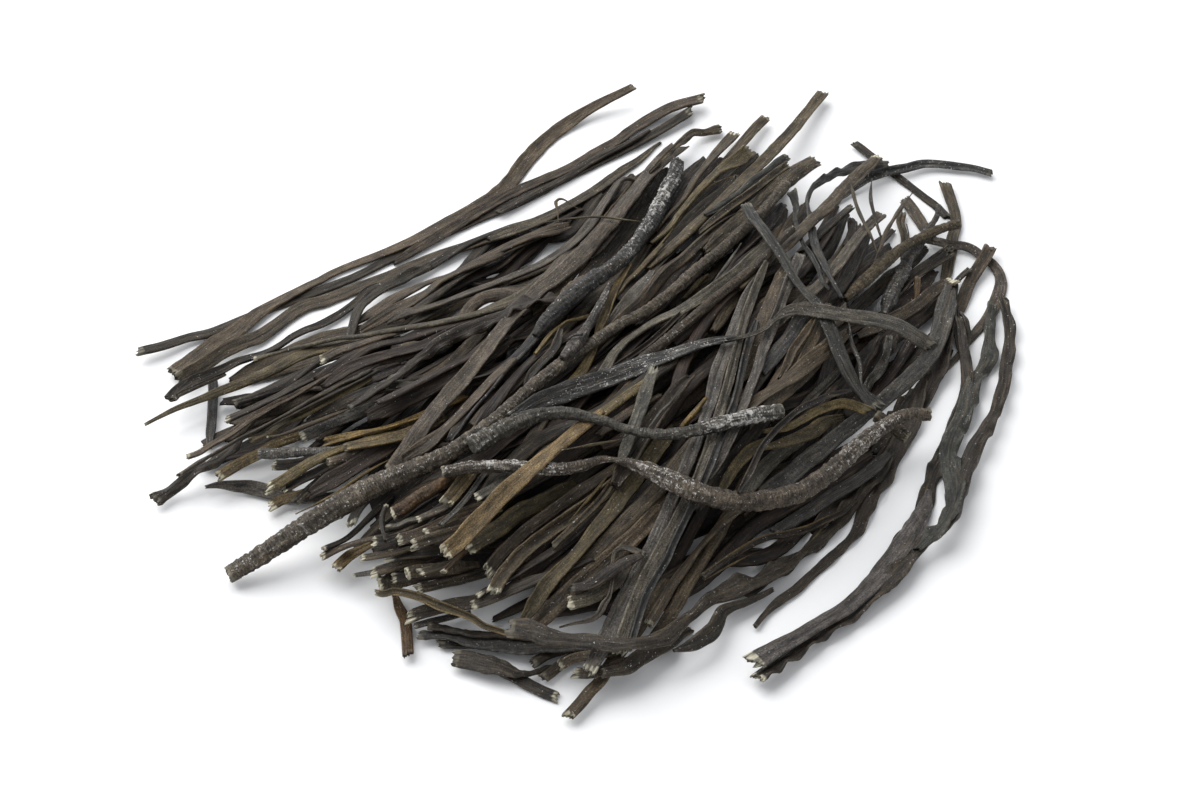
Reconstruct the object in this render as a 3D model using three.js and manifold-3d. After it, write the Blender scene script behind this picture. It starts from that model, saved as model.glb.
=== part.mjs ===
// Heap of dried sea spaghetti lying on a bare surface.
// Stiff dark strands, most of them running along +X, lie over a low mound and are fused into one solid.
// Millimetres, +Z up, origin on the surface under the middle of the heap.

import * as THREE from 'three';
import { mergeVertices } from 'three/addons/utils/BufferGeometryUtils.js';
import Module from 'manifold-3d';

// Strand sizes
const RIBBON_WIDTH = 4;
const RIBBON_THICKNESS = 1.9;
const STEM_WIDTH = 4.4;
const STEM_THICKNESS = 3.2;
const SHARE_OF_WIDTH_AT_TIP = 0.72;
const WIDTH_SPREAD = 0.22;
const STEP_LENGTH = 22;
const SHEAF_STEP_LENGTH = 40;
const SHEAF_END_SPREAD = 0.07;
const SHEAF_BOW = 12;
const ROLL_SPREAD = THREE.MathUtils.degToRad(14);

// Core mound: an elliptical dome with a flat underside
const CORE_LENGTH = 128;
const CORE_WIDTH = 92;
const CORE_HEIGHT = 28;
const CORE_SEEN_AT = new THREE.Vector2(614, 392);
const CORE_TURN = THREE.MathUtils.degToRad(-6);
const CORE_SECTORS = 28;
const CORE_RINGS = 6;

// How the strands come to lie on each other
const HEAP_REACH = new THREE.Vector2(150, 130);
const HEAP_TOP = 60;
const CELL = 1.5;
const SAMPLE_SPACING = 3;
const SINK = 0.95;
const COVERED_SHARE_OF_WIDTH = 0.7;
const FLOOR_GAP = 0.3;
const DROP_STEP = 0.4;
const JOIN_TOLERANCE = 0.02;

// The view that the strands' places are read in: pixels of a 1200 by 800 picture
const PICTURE_CENTRE = new THREE.Vector2(600, 400);
const FOCAL_PIXELS = 3333;
const VIEW_DISTANCE = 833;
const VIEW_AZIMUTH = THREE.MathUtils.degToRad(-41);
const VIEW_ELEVATION = THREE.MathUtils.degToRad(45);
const VIEW_AIM = new THREE.Vector3(-14.4, 2.7, 0);

// Sheaves of like strands, lowest first: their near ends stand on one line and their far ends on another
const SHEAVES = [
  { count: 7, near: [[185, 382], [165, 495]], far: [[615, 238], [500, 335]] },
  { count: 5, near: [[440, 640], [690, 640]], far: [[810, 550], [905, 430]] },
  { count: 4, near: [[350, 340], [345, 415]], far: [[600, 222], [625, 285]] },
  { count: 5, near: [[262, 440], [305, 500]], far: [[565, 275], [600, 330]] },
  { count: 6, near: [[324, 545], [385, 590]], far: [[640, 340], [700, 400]] },
  { count: 4, near: [[400, 515], [480, 500]], far: [[650, 290], [720, 330]] },
  { count: 7, near: [[400, 465], [540, 400]], far: [[650, 160], [810, 160]] },
  { count: 5, near: [[475, 600], [550, 620]], far: [[690, 420], [760, 380]] },
  { count: 4, near: [[705, 590], [755, 540]], far: [[890, 450], [945, 330]] },
  { count: 7, near: [[690, 465], [760, 420]], far: [[872, 160], [950, 290]] },
  { count: 3, near: [[500, 420], [600, 385]], far: [[780, 190], [800, 240]] },
  { count: 3, near: [[592, 660], [660, 632]], far: [[765, 270], [800, 330]] },
];

// Strands that stand out of the heap or lie across it, lowest first
const SINGLED_OUT = {
  leftLongStrand: { track: [[143, 350], [300, 300], [480, 219], [600, 162], [688, 113]] },
  backLongStrand: { track: [[174, 373], [350, 268], [480, 207], [530, 158], [590, 109], [631, 88]] },
  backBluntStrand: { track: [[395, 262], [520, 190], [600, 156], [700, 100]] },
  backSlopeStrand: { track: [[183, 379], [310, 308], [470, 246], [600, 222]] },
  backTornRibbon: { track: [[500, 240], [590, 202], [662, 143]] },
  backTie: { track: [[349, 335], [370, 292], [430, 250], [480, 205]] },
  leftTaperedStrand: { track: [[147, 424], [250, 382], [345, 343], [430, 318]] },
  leftLowestStrand: { track: [[158, 500], [225, 454], [290, 420], [375, 372]] },
  leftCrossingScrap: { track: [[214, 378], [212, 415], [207, 455]] },
  leftLeafTip: { track: [[206, 486], [265, 491], [335, 492], [400, 470]] },
  frontHangingScrap: { track: [[392, 590], [402, 612], [407, 652]] },
  frontWavyStrand: { track: [[423, 632], [485, 640], [565, 645], [650, 625]] },
  frontLooseEnd: { track: [[458, 658], [502, 666], [542, 671], [600, 640]] },
  frontDarkEnd: { track: [[553, 697], [525, 685], [497, 671], [500, 650]] },
  frontArchedStrand: { track: [[383, 595], [418, 596], [488, 626], [600, 642], [680, 625], [780, 563]] },
  rightRimStrand: { track: [[755, 624], [838, 553], [877, 492], [921, 422], [942, 340], [952, 290]] },
  rightOuterRibbon: { lift: 5,
    track: [[757, 677], [850, 613], [927, 537], [973, 452], [1004, 380], [1003, 300], [975, 248]] },
  rightInnerRibbon: { lift: 6,
    track: [[757, 660], [850, 598], [925, 522], [953, 435], [988, 350], [985, 275], [930, 262]] },
  upperRightArch: { track: [[990, 172], [930, 165], [862, 177], [800, 225], [740, 288]] },
  upperRightDarkStrand: { track: [[858, 147], [905, 184], [948, 220], [965, 275]] },
  upperRightUpright: { track: [[947, 186], [958, 225], [950, 275], [935, 330]] },
  upperRightEnd: { track: [[990, 252], [962, 298], [912, 383]] },
  topBluntStrand: { track: [[820, 95], [748, 170], [645, 270], [560, 350]] },
  bottomPointingStrand: { track: [[569, 715], [640, 625], [700, 500]] },
  paleSaltedStem: { stem: true,
    track: [[677, 164], [630, 247], [548, 322], [478, 408], [430, 470]] },
  broadLeftRibbon: { track: [[392, 470], [500, 332], [595, 229], [672, 148]] },
  broadRightRibbon: { track: [[591, 661], [680, 484], [750, 310], [775, 250]] },
  frontThickStem: { stem: true,
    track: [[229, 575], [340, 506], [455, 451], [520, 404], [600, 310]] },
  brightFrontRibbon: { track: [[449, 548], [510, 487], [600, 411], [650, 370]] },
  upperCurlingStem: { stem: true,
    track: [[515, 418], [590, 385], [705, 345], [785, 315], [840, 315], [926, 344]] },
  lowerCurlingStem: { stem: true,
    track: [[443, 472], [545, 470], [603, 459], [685, 487], [765, 498], [860, 443], [930, 414]] },
  middleCurlingStem: { stem: true,
    track: [[472, 446], [560, 413], [660, 436], [782, 414]] },
  crossStem: { track: [[747, 207], [812, 300], [875, 408]] },
  rightSmoothStrand: { track: [[772, 486], [890, 401], [962, 270]] },
};

const seaweed = new THREE.MeshStandardMaterial({ color: 0x47413b, roughness: 0.72, metalness: 0 });

// The picture's own axes in the heap's frame
const viewForward = new THREE.Vector3(
  -Math.sin(VIEW_AZIMUTH) * Math.cos(VIEW_ELEVATION),
  Math.cos(VIEW_AZIMUTH) * Math.cos(VIEW_ELEVATION),
  -Math.sin(VIEW_ELEVATION),
);
const viewRight = new THREE.Vector3(Math.cos(VIEW_AZIMUTH), Math.sin(VIEW_AZIMUTH), 0);
const viewUp = new THREE.Vector3().crossVectors(viewRight, viewForward);
const viewPoint = VIEW_AIM.clone().addScaledVector(viewForward, -VIEW_DISTANCE);

// The point at a given height that is seen at a pixel
function pointSeenAt(pixel, height) {
  const across = (pixel.x - PICTURE_CENTRE.x) / FOCAL_PIXELS;
  const down = (pixel.y - PICTURE_CENTRE.y) / FOCAL_PIXELS;
  const ray = viewForward.clone().addScaledVector(viewRight, across).addScaledVector(viewUp, -down);
  return viewPoint.clone().addScaledVector(ray, (height - viewPoint.z) / ray.z);
}

// A small repeatable stream of numbers from 0 to 1
function makeRandom(seed) {
  let state = seed;
  return () => {
    state = (state * 16807) % 2147483647;
    return state / 2147483647;
  };
}
const random = makeRandom(4711);
const spread = (amount) => (2 * random() - 1) * amount;

const CORE_CENTRE = pointSeenAt(CORE_SEEN_AT, 0);

// Height of the core at a distance from its middle, given as a share of its half length and half width
const domeHeight = (share) => CORE_HEIGHT * Math.pow(Math.max(0, 1 - share * share), 0.6);

function coreHeight(x, y) {
  const place = new THREE.Vector2(x - CORE_CENTRE.x, y - CORE_CENTRE.y);
  place.rotateAround(new THREE.Vector2(), -CORE_TURN);
  return domeHeight(Math.hypot(place.x / (CORE_LENGTH / 2), place.y / (CORE_WIDTH / 2)));
}

// Heights of the heap as it grows, on a square grid
class HeapSurface {
  constructor() {
    this.columns = Math.ceil((2 * HEAP_REACH.x) / CELL);
    this.rows = Math.ceil((2 * HEAP_REACH.y) / CELL);
    this.heights = new Float32Array(this.columns * this.rows);
    for (let row = 0; row < this.rows; row += 1) {
      for (let column = 0; column < this.columns; column += 1) {
        const x = column * CELL - HEAP_REACH.x;
        const y = row * CELL - HEAP_REACH.y;
        this.heights[row * this.columns + column] = coreHeight(x, y);
      }
    }
  }

  cellAt(x, y) {
    const column = THREE.MathUtils.clamp(Math.round((x + HEAP_REACH.x) / CELL), 0, this.columns - 1);
    const row = THREE.MathUtils.clamp(Math.round((y + HEAP_REACH.y) / CELL), 0, this.rows - 1);
    return row * this.columns + column;
  }

  heightAt(x, y) {
    return this.heights[this.cellAt(x, y)];
  }

  // The height at which the line of sight through a pixel first meets the heap
  heightSeenAt(pixel) {
    for (let height = HEAP_TOP; height > 0; height -= DROP_STEP) {
      const point = pointSeenAt(pixel, height);
      if (this.heightAt(point.x, point.y) >= height) return height;
    }
    return 0;
  }

  // A strand along the given points, with its top this far above them, becomes part of the surface
  cover(points, halfWidth, topAbove) {
    for (let index = 0; index < points.length; index += 1) {
      const before = points[Math.max(0, index - 1)];
      const after = points[Math.min(points.length - 1, index + 1)];
      const along = after.clone().sub(before).setZ(0).normalize();
      for (let part = 0; part <= 1; part += 0.5) {
        const middle = points[index].clone().lerp(after, part / 2);
        for (let side = -halfWidth; side <= halfWidth; side += CELL / 2) {
          const cell = this.cellAt(middle.x - along.y * side, middle.y + along.x * side);
          this.heights[cell] = Math.max(this.heights[cell], middle.z + topAbove);
        }
      }
    }
  }
}

// Heights of a stiff strand that is held up at some places and spans straight between them
function spanBetween(heights) {
  const hull = [];
  heights.forEach((height, index) => {
    while (hull.length > 1) {
      const [last, before] = [hull[hull.length - 1], hull[hull.length - 2]];
      const rise = (height - before.height) * (last.index - before.index);
      if ((last.height - before.height) * (index - before.index) > rise) break;
      hull.pop();
    }
    hull.push({ index, height });
  });
  return heights.map((height, index) => {
    const next = Math.max(1, hull.findIndex((post) => post.index >= index));
    const [from, to] = [hull[next - 1], hull[next]];
    const share = (index - from.index) / (to.index - from.index);
    return THREE.MathUtils.lerp(from.height, to.height, share);
  });
}

// The middle line of a strand: its cross section stays level but for a roll, and narrows to both tips
class StrandLine extends THREE.CatmullRomCurve3 {
  constructor(points, roll) {
    super(points);
    this.roll = roll;
  }

  computeFrenetFrames(segments) {
    const frames = { tangents: [], normals: [], binormals: [] };
    for (let index = 0; index <= segments; index += 1) {
      const u = index / segments;
      const tangent = this.getTangentAt(u);
      const normal = new THREE.Vector3(0, 0, 1).addScaledVector(tangent, -tangent.z).normalize();
      normal.applyAxisAngle(tangent, this.roll * Math.sin(Math.PI * u));
      const binormal = new THREE.Vector3().crossVectors(tangent, normal);
      const share = THREE.MathUtils.lerp(SHARE_OF_WIDTH_AT_TIP, 1, Math.sqrt(Math.sin(Math.PI * u)));
      frames.tangents.push(tangent);
      frames.normals.push(normal.multiplyScalar(share));
      frames.binormals.push(binormal.multiplyScalar(share));
    }
    return frames;
  }
}

// Cross sections: a ribbon is a low trapezium, a stem is six-sided
function ribbonSection(width, thickness) {
  return new THREE.Shape([
    new THREE.Vector2(-thickness / 2, -width / 2),
    new THREE.Vector2(-thickness / 2, width / 2),
    new THREE.Vector2(thickness / 2, width * 0.32),
    new THREE.Vector2(thickness / 2, -width * 0.32),
  ]);
}

function stemSection(width, thickness) {
  const corners = [0, 1, 2, 3, 4, 5].map((corner) => (corner * Math.PI) / 3);
  return new THREE.Shape(corners.map((angle) => (
    new THREE.Vector2((Math.sin(angle) * thickness) / 2, (Math.cos(angle) * width) / 2)
  )));
}

// A rolled strand's lower edge is flattened where it would reach the floor
function keepOffFloor(geometry) {
  const { position } = geometry.attributes;
  for (let index = 0; index < position.count; index += 1) {
    position.setZ(index, Math.max(position.getZ(index), FLOOR_GAP));
  }
  return geometry;
}

// Lays one strand along its track and gives its solid
function layStrand(heap, { track, stem = false, lift = 0, stepLength = STEP_LENGTH }) {
  const width = (stem ? STEM_WIDTH : RIBBON_WIDTH) * (1 + spread(WIDTH_SPREAD));
  const thickness = stem ? STEM_THICKNESS : RIBBON_THICKNESS;
  const seen = new THREE.CatmullRomCurve3(track.map(([x, y]) => new THREE.Vector3(x, y, 0)));
  const floorLine = new THREE.CatmullRomCurve3(track.map(([x, y]) => pointSeenAt({ x, y }, 0)));
  const sampleCount = Math.ceil(floorLine.getLength() / SAMPLE_SPACING);
  const pixels = seen.getSpacedPoints(sampleCount);
  const held = pixels.map((pixel) => {
    const met = heap.heightSeenAt(pixel);
    return Math.max(met + thickness / 2 - SINK, thickness / 2 + FLOOR_GAP);
  });
  held[held.length - 1] += lift;
  const heights = spanBetween(held);
  const points = pixels.map((pixel, index) => pointSeenAt(pixel, heights[index]));
  heap.cover(points, (width * COVERED_SHARE_OF_WIDTH) / 2, thickness / 2);
  const steps = Math.max(3, Math.round(floorLine.getLength() / stepLength));
  const stops = new THREE.CatmullRomCurve3(points).getSpacedPoints(steps);
  const section = stem ? stemSection(width, thickness) : ribbonSection(width, thickness);
  const line = new StrandLine(stops, spread(ROLL_SPREAD));
  const geometry = new THREE.ExtrudeGeometry(section, { steps, extrudePath: line });
  return keepOffFloor(geometry);
}

// The strands of a sheaf, from one line of ends to the other, each with its own length and slight bow
function sheafTracks({ count, near, far }) {
  return Array.from({ length: count }, (unused, index) => {
    const share = (index + 0.5 + spread(0.4)) / count;
    const start = new THREE.Vector2(...near[0]).lerp(new THREE.Vector2(...near[1]), share);
    const end = new THREE.Vector2(...far[0]).lerp(new THREE.Vector2(...far[1]), share);
    const stops = [spread(SHEAF_END_SPREAD), 0.5, 1 + spread(SHEAF_END_SPREAD)];
    const [from, middle, to] = stops.map((stop) => start.clone().lerp(end, stop));
    middle.x += spread(SHEAF_BOW);
    middle.y += spread(SHEAF_BOW);
    const track = [from, middle, to].map((point) => [point.x, point.y]);
    return { track, stepLength: SHEAF_STEP_LENGTH };
  });
}

function coreGeometry() {
  const profile = [new THREE.Vector2(0, 0)];
  for (let ring = 0; ring <= CORE_RINGS; ring += 1) {
    const share = Math.cos((ring / CORE_RINGS) * (Math.PI / 2));
    profile.push(new THREE.Vector2(ring === CORE_RINGS ? 0 : share, domeHeight(share)));
  }
  const dome = new THREE.LatheGeometry(profile, CORE_SECTORS);
  dome.rotateX(Math.PI / 2);
  dome.scale(CORE_LENGTH / 2, CORE_WIDTH / 2, 1);
  dome.rotateZ(CORE_TURN);
  dome.translate(CORE_CENTRE.x, CORE_CENTRE.y, 0);
  return dome;
}

const wasm = await Module();
wasm.setup();

function toSolid(geometry) {
  const bare = geometry.clone();
  bare.deleteAttribute('normal');
  bare.deleteAttribute('uv');
  const merged = mergeVertices(bare, 1e-4);
  return new wasm.Manifold(new wasm.Mesh({
    numProp: 3,
    vertProperties: new Float32Array(merged.attributes.position.array),
    triVerts: new Uint32Array(merged.index.array),
    tolerance: JOIN_TOLERANCE,
  }));
}

function toGeometry(solid) {
  const { vertProperties, triVerts } = solid.getMesh();
  const geometry = new THREE.BufferGeometry();
  geometry.setAttribute('position', new THREE.BufferAttribute(vertProperties, 3));
  geometry.setIndex(new THREE.BufferAttribute(triVerts, 1));
  geometry.computeVertexNormals();
  return geometry;
}

// The largest body of a joined solid: hollows that the joining sealed are filled and loose scraps dropped
function mainBody(solid) {
  const bodies = solid.decompose();
  return bodies.reduce((best, body) => (body.volume() > best.volume() ? body : best));
}

const surface = new HeapSurface();
const rows = [...SHEAVES.flatMap(sheafTracks), ...Object.values(SINGLED_OUT)];
const strands = rows.map((row) => layStrand(surface, row));
const fused = strands.map(toSolid).reduce((whole, strand) => whole.add(strand), toSolid(coreGeometry()));

const heap = new THREE.Mesh(toGeometry(mainBody(fused)), seaweed);
heap.name = 'strand_heap';

const driedSeaSpaghetti = new THREE.Group();
driedSeaSpaghetti.add(heap);

export default driedSeaSpaghetti;
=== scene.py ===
"""A loose heap of dried sea spaghetti on a pale floor.

The strands are laid one after another, from the floor up, on a low core. Each follows the course that it has
in the photograph: a course is a list of pixels of the 1200 by 800 picture, and the height comes from what
already lies there. Sizes are in millimetres and the meshes are written in metres.
"""

import logging
import math
from dataclasses import dataclass, field, replace
from enum import Enum

import bpy
import numpy as np
from mathutils import Matrix


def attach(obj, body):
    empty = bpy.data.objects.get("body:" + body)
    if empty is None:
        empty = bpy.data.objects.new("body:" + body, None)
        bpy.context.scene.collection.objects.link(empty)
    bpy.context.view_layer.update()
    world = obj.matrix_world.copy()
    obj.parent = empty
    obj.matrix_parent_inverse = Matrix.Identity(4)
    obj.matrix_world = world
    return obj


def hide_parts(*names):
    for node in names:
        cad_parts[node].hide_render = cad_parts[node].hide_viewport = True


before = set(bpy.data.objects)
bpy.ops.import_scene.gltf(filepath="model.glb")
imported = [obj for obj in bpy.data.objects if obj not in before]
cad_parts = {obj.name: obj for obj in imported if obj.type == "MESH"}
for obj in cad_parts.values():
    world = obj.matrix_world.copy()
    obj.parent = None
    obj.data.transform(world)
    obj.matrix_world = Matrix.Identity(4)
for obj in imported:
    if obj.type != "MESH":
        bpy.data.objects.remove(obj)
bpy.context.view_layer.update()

LOG = logging.getLogger("sea_spaghetti")
MM = 0.001
SEED = 4711
UP = np.array([0.0, 0.0, 1.0])

Pixel = tuple[float, float]
Span = tuple[float, float]


class Kind(Enum):
    """How a strand dried."""

    FLAT = "flat"
    FOLD = "folded"
    STEM = "stem"
    CRINKLE = "crinkled"
    THREAD = "thread"


class Tone(Enum):
    """Colour of a strand's skin in even white light, as sRGB hex. SHADE is the exception: it is painted
    shade.
    """

    CHARCOAL = "#333232"
    GREY = "#43403d"
    BROWN = "#3f362b"
    TAUPE = "#443d34"
    OLIVE = "#443b28"
    TAN = "#54472d"
    OCHRE = "#624f2b"
    DARK = "#29231d"
    RUSSET = "#463420"
    # SHADE is painted shade: a near-black colour, darker than any skin, for strands that lie in the deep
    # shade between others.
    SHADE = "#20160f"
    BARK = "#49423b"
    STRAW = "#65543a"
    ASH = "#494542"


FLAT, FOLD, STEM, CRINKLE, THREAD = Kind
CHARCOAL, GREY, BROWN, TAUPE, OLIVE, TAN, OCHRE, DARK, RUSSET, SHADE, BARK, STRAW, ASH = Tone


@dataclass(frozen=True)
class Track:
    """One strand's course in the photograph.

    Attributes:
        kind: How the strand dried.
        tone: Colour of its skin.
        width: Width in mm, or several widths spread evenly from the first point to the last.
        seen: Pixels that the middle of the strand passes.
        salt: Salt on the skin, one value or several spread evenly along the strand. 1 is a thin white film.
        lift: How far the first and the last end stand off what is under them, in mm.
        pale: How pale the cut face at each end is, from 0 to 1. An end with none tapers off.
        arch: How far the middle stands off what is under it, in mm.
        lean: How far the skin leans towards the viewer, in radians.
    """

    kind: Kind
    tone: Tone
    width: tuple[float, ...]
    seen: tuple[Pixel, ...]
    salt: float | tuple[float, ...] = 0.2
    lift: Span = (1.0, 0.0)
    pale: Span = (0.15, 0.0)
    arch: float = 0.0
    lean: float = 0.0


def strand(
    kind: Kind, tone: Tone, width: float | tuple[float, ...], *seen: Pixel, **more: float | tuple[float, ...]
) -> Track:
    """One strand's course, written short.

    Args:
        kind: How the strand dried.
        tone: Colour of its skin.
        width: Width in mm, one value or several along the strand.
        *seen: Pixels that it passes.
        **more: Salt, lift, pale, arch and lean of the track.

    Returns:
        The track.
    """
    widths = width if isinstance(width, tuple) else (width,)
    return Track(kind, tone, widths, seen, **more)


def tucked(
    kind: Kind, tone: Tone, width: float | tuple[float, ...], *seen: Pixel, **more: float | tuple[float, ...]
) -> Track:
    """Course of a strand whose two ends are tucked in under others, so that both taper off."""
    return strand(kind, tone, width, *seen, pale=(0.0, 0.0), **more)


# Long strands from the left end along the upper edge.
UPPER_LEFT = (
    strand(FLAT, CHARCOAL, 2.4, (213, 380), (214, 391), (213, 405), (212, 421), (210, 436), (209, 446)),
    strand(FLAT, DARK, 3.0, (143, 351), (164, 346), (189, 338), (213, 332), (250, 317), (300, 298),
        (331, 287), (361, 275), (395, 258), (440, 236), (480, 219), (520, 203), (560, 181), (600, 162),
        (645, 139), (688, 113), lift=(3, 2), pale=(0.25, 0.3)),
    strand(FLAT, BROWN, (5.1, 4.4, 2.6, 4.5, 4.8, 4.2, 2.4), (176, 372), (198, 357), (215, 345), (233, 334),
        (260, 313), (300, 291), (320, 281), (339, 271), (400, 247), (440, 227), (480, 207), (505, 188),
        (530, 158), (555, 134), (590, 109), (631, 88), lift=(2, 6), pale=(0.3, 0.15)),
    strand(FLAT, BROWN, (2.7, 4.2), (395, 262), (440, 235), (480, 211), (520, 190), (566, 170), (591, 156),
        (617, 142), (636, 128), (670, 109), (700, 100), lift=(0, 3), pale=(0.0, 0.3)),
    strand(FLAT, DARK, 1.6, (500, 212), (540, 192), (566, 178), (591, 162), (610, 152), (630, 142),
        (649, 131)),
    strand(FLAT, BROWN, 3.9, (183, 378), (208, 362), (225, 351), (243, 343), (262, 335), (300, 309),
        (325, 301), (346, 293), (372, 283), (392, 276), (425, 262), (470, 246), (510, 233), lift=(3, 0),
        pale=(0.4, 0.0)),
    strand(FLAT, DARK, 2.0, (235, 403), (250, 398), (262, 394), (280, 387), (298, 376), (310, 368),
        (320, 361), (345, 348)),
    strand(FLAT, DARK, 2.4, (229, 419), (243, 413), (262, 404), (280, 396), (298, 386), (317, 376),
        (330, 370), (365, 352), (400, 338), pale=(0.9, 0.0)),
    tucked(FLAT, SHADE, 3.6, (318, 379), (341, 364), (361, 352), (377, 345), (403, 340), (433, 331),
        (460, 323), (490, 310)),
    tucked(FLAT, SHADE, 3.9, (325, 386), (351, 369), (382, 357), (413, 349), (440, 338), (470, 325)),
    tucked(FLAT, SHADE, 4.0, (300, 412), (320, 402), (345, 390), (370, 379), (400, 366)),
    tucked(FLAT, DARK, 3.6, (310, 421), (332, 410), (356, 398), (382, 386)),
    tucked(FLAT, OLIVE, 3.4, (250, 440), (270, 430), (290, 418), (310, 408), (335, 395), (370, 378)),
    strand(CRINKLE, DARK, (3.4, 3.0, 2.6, 1.8, 2.4, 2.6), (157, 499), (170, 490), (183, 481), (195, 471),
        (208, 465), (219, 460), (230, 452), (237, 443), (250, 436), (275, 424), (305, 408), (340, 390),
        (375, 372), lift=(2, 0)),
    strand(CRINKLE, DARK, 2.1, (181, 474), (195, 465), (208, 457), (225, 447), (237, 440), (250, 433),
        (262, 427), (290, 412), (330, 390), (370, 370), lift=(2, 0)),
    strand(FLAT, BROWN, (2.0, 1.7, 1.3), (189, 457), (200, 453), (213, 444), (228, 435), (243, 424),
        (256, 415), (274, 405), (300, 392), (330, 375), pale=(0.8, 0.0)),
    strand(FLAT, DARK, (3.3, 2.0, 2.4, 2.7, 2.7), (172, 398), (180, 390), (192, 382), (208, 375), (225, 368),
        (237, 362), (250, 358), (262, 354), (274, 349), (284, 343), (292, 337), (304, 331), (320, 325),
        (341, 314), (357, 302), (370, 290), (392, 283), (423, 270), (445, 258), (470, 244), (500, 231),
        (530, 222), lift=(3, 0)),
    strand(FLAT, DARK, 1.2, (178, 396), (195, 388), (208, 382), (225, 375)),
    tucked(FLAT, BROWN, 3.9, (358, 322), (377, 310), (392, 300), (413, 290), (433, 281), (454, 274),
        (490, 255), (530, 237), (570, 226)),
    tucked(FLAT, BROWN, 3.3, (361, 331), (377, 321), (392, 311), (413, 301), (428, 292), (440, 282),
        (470, 267), (500, 255)),
    strand(CRINKLE, DARK, 2.8, (350, 337), (355, 321), (360, 307), (371, 297), (382, 289), (400, 281),
        (430, 266)),
    strand(FLAT, OLIVE, (0.7, 2.0, 3.2, 3.5, 3.6), (145, 424), (160, 416), (174, 409), (189, 403), (203, 398),
        (219, 392), (237, 385), (256, 377), (274, 368), (292, 358), (310, 352), (330, 347), (350, 342),
        (390, 331), lift=(2, 0), pale=(0.5, 0.0)),
    strand(FLAT, BROWN, 2.7, (323, 359), (336, 352), (347, 348), (372, 340), (410, 328), pale=(0.9, 0.0)),
    strand(FLAT, TAUPE, (1.3, 1.9, 2.8, 3.8, 4.2, 4.2, 4.0, 3.8), (255, 359), (274, 354), (292, 349),
        (310, 345), (330, 340), (341, 338), (356, 337), (372, 334), (392, 330), (413, 327), (433, 324),
        (460, 318), (480, 313), (520, 297), (548, 278), (575, 258), (600, 238), (625, 212), pale=(0.7, 0.0)),
)

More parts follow.
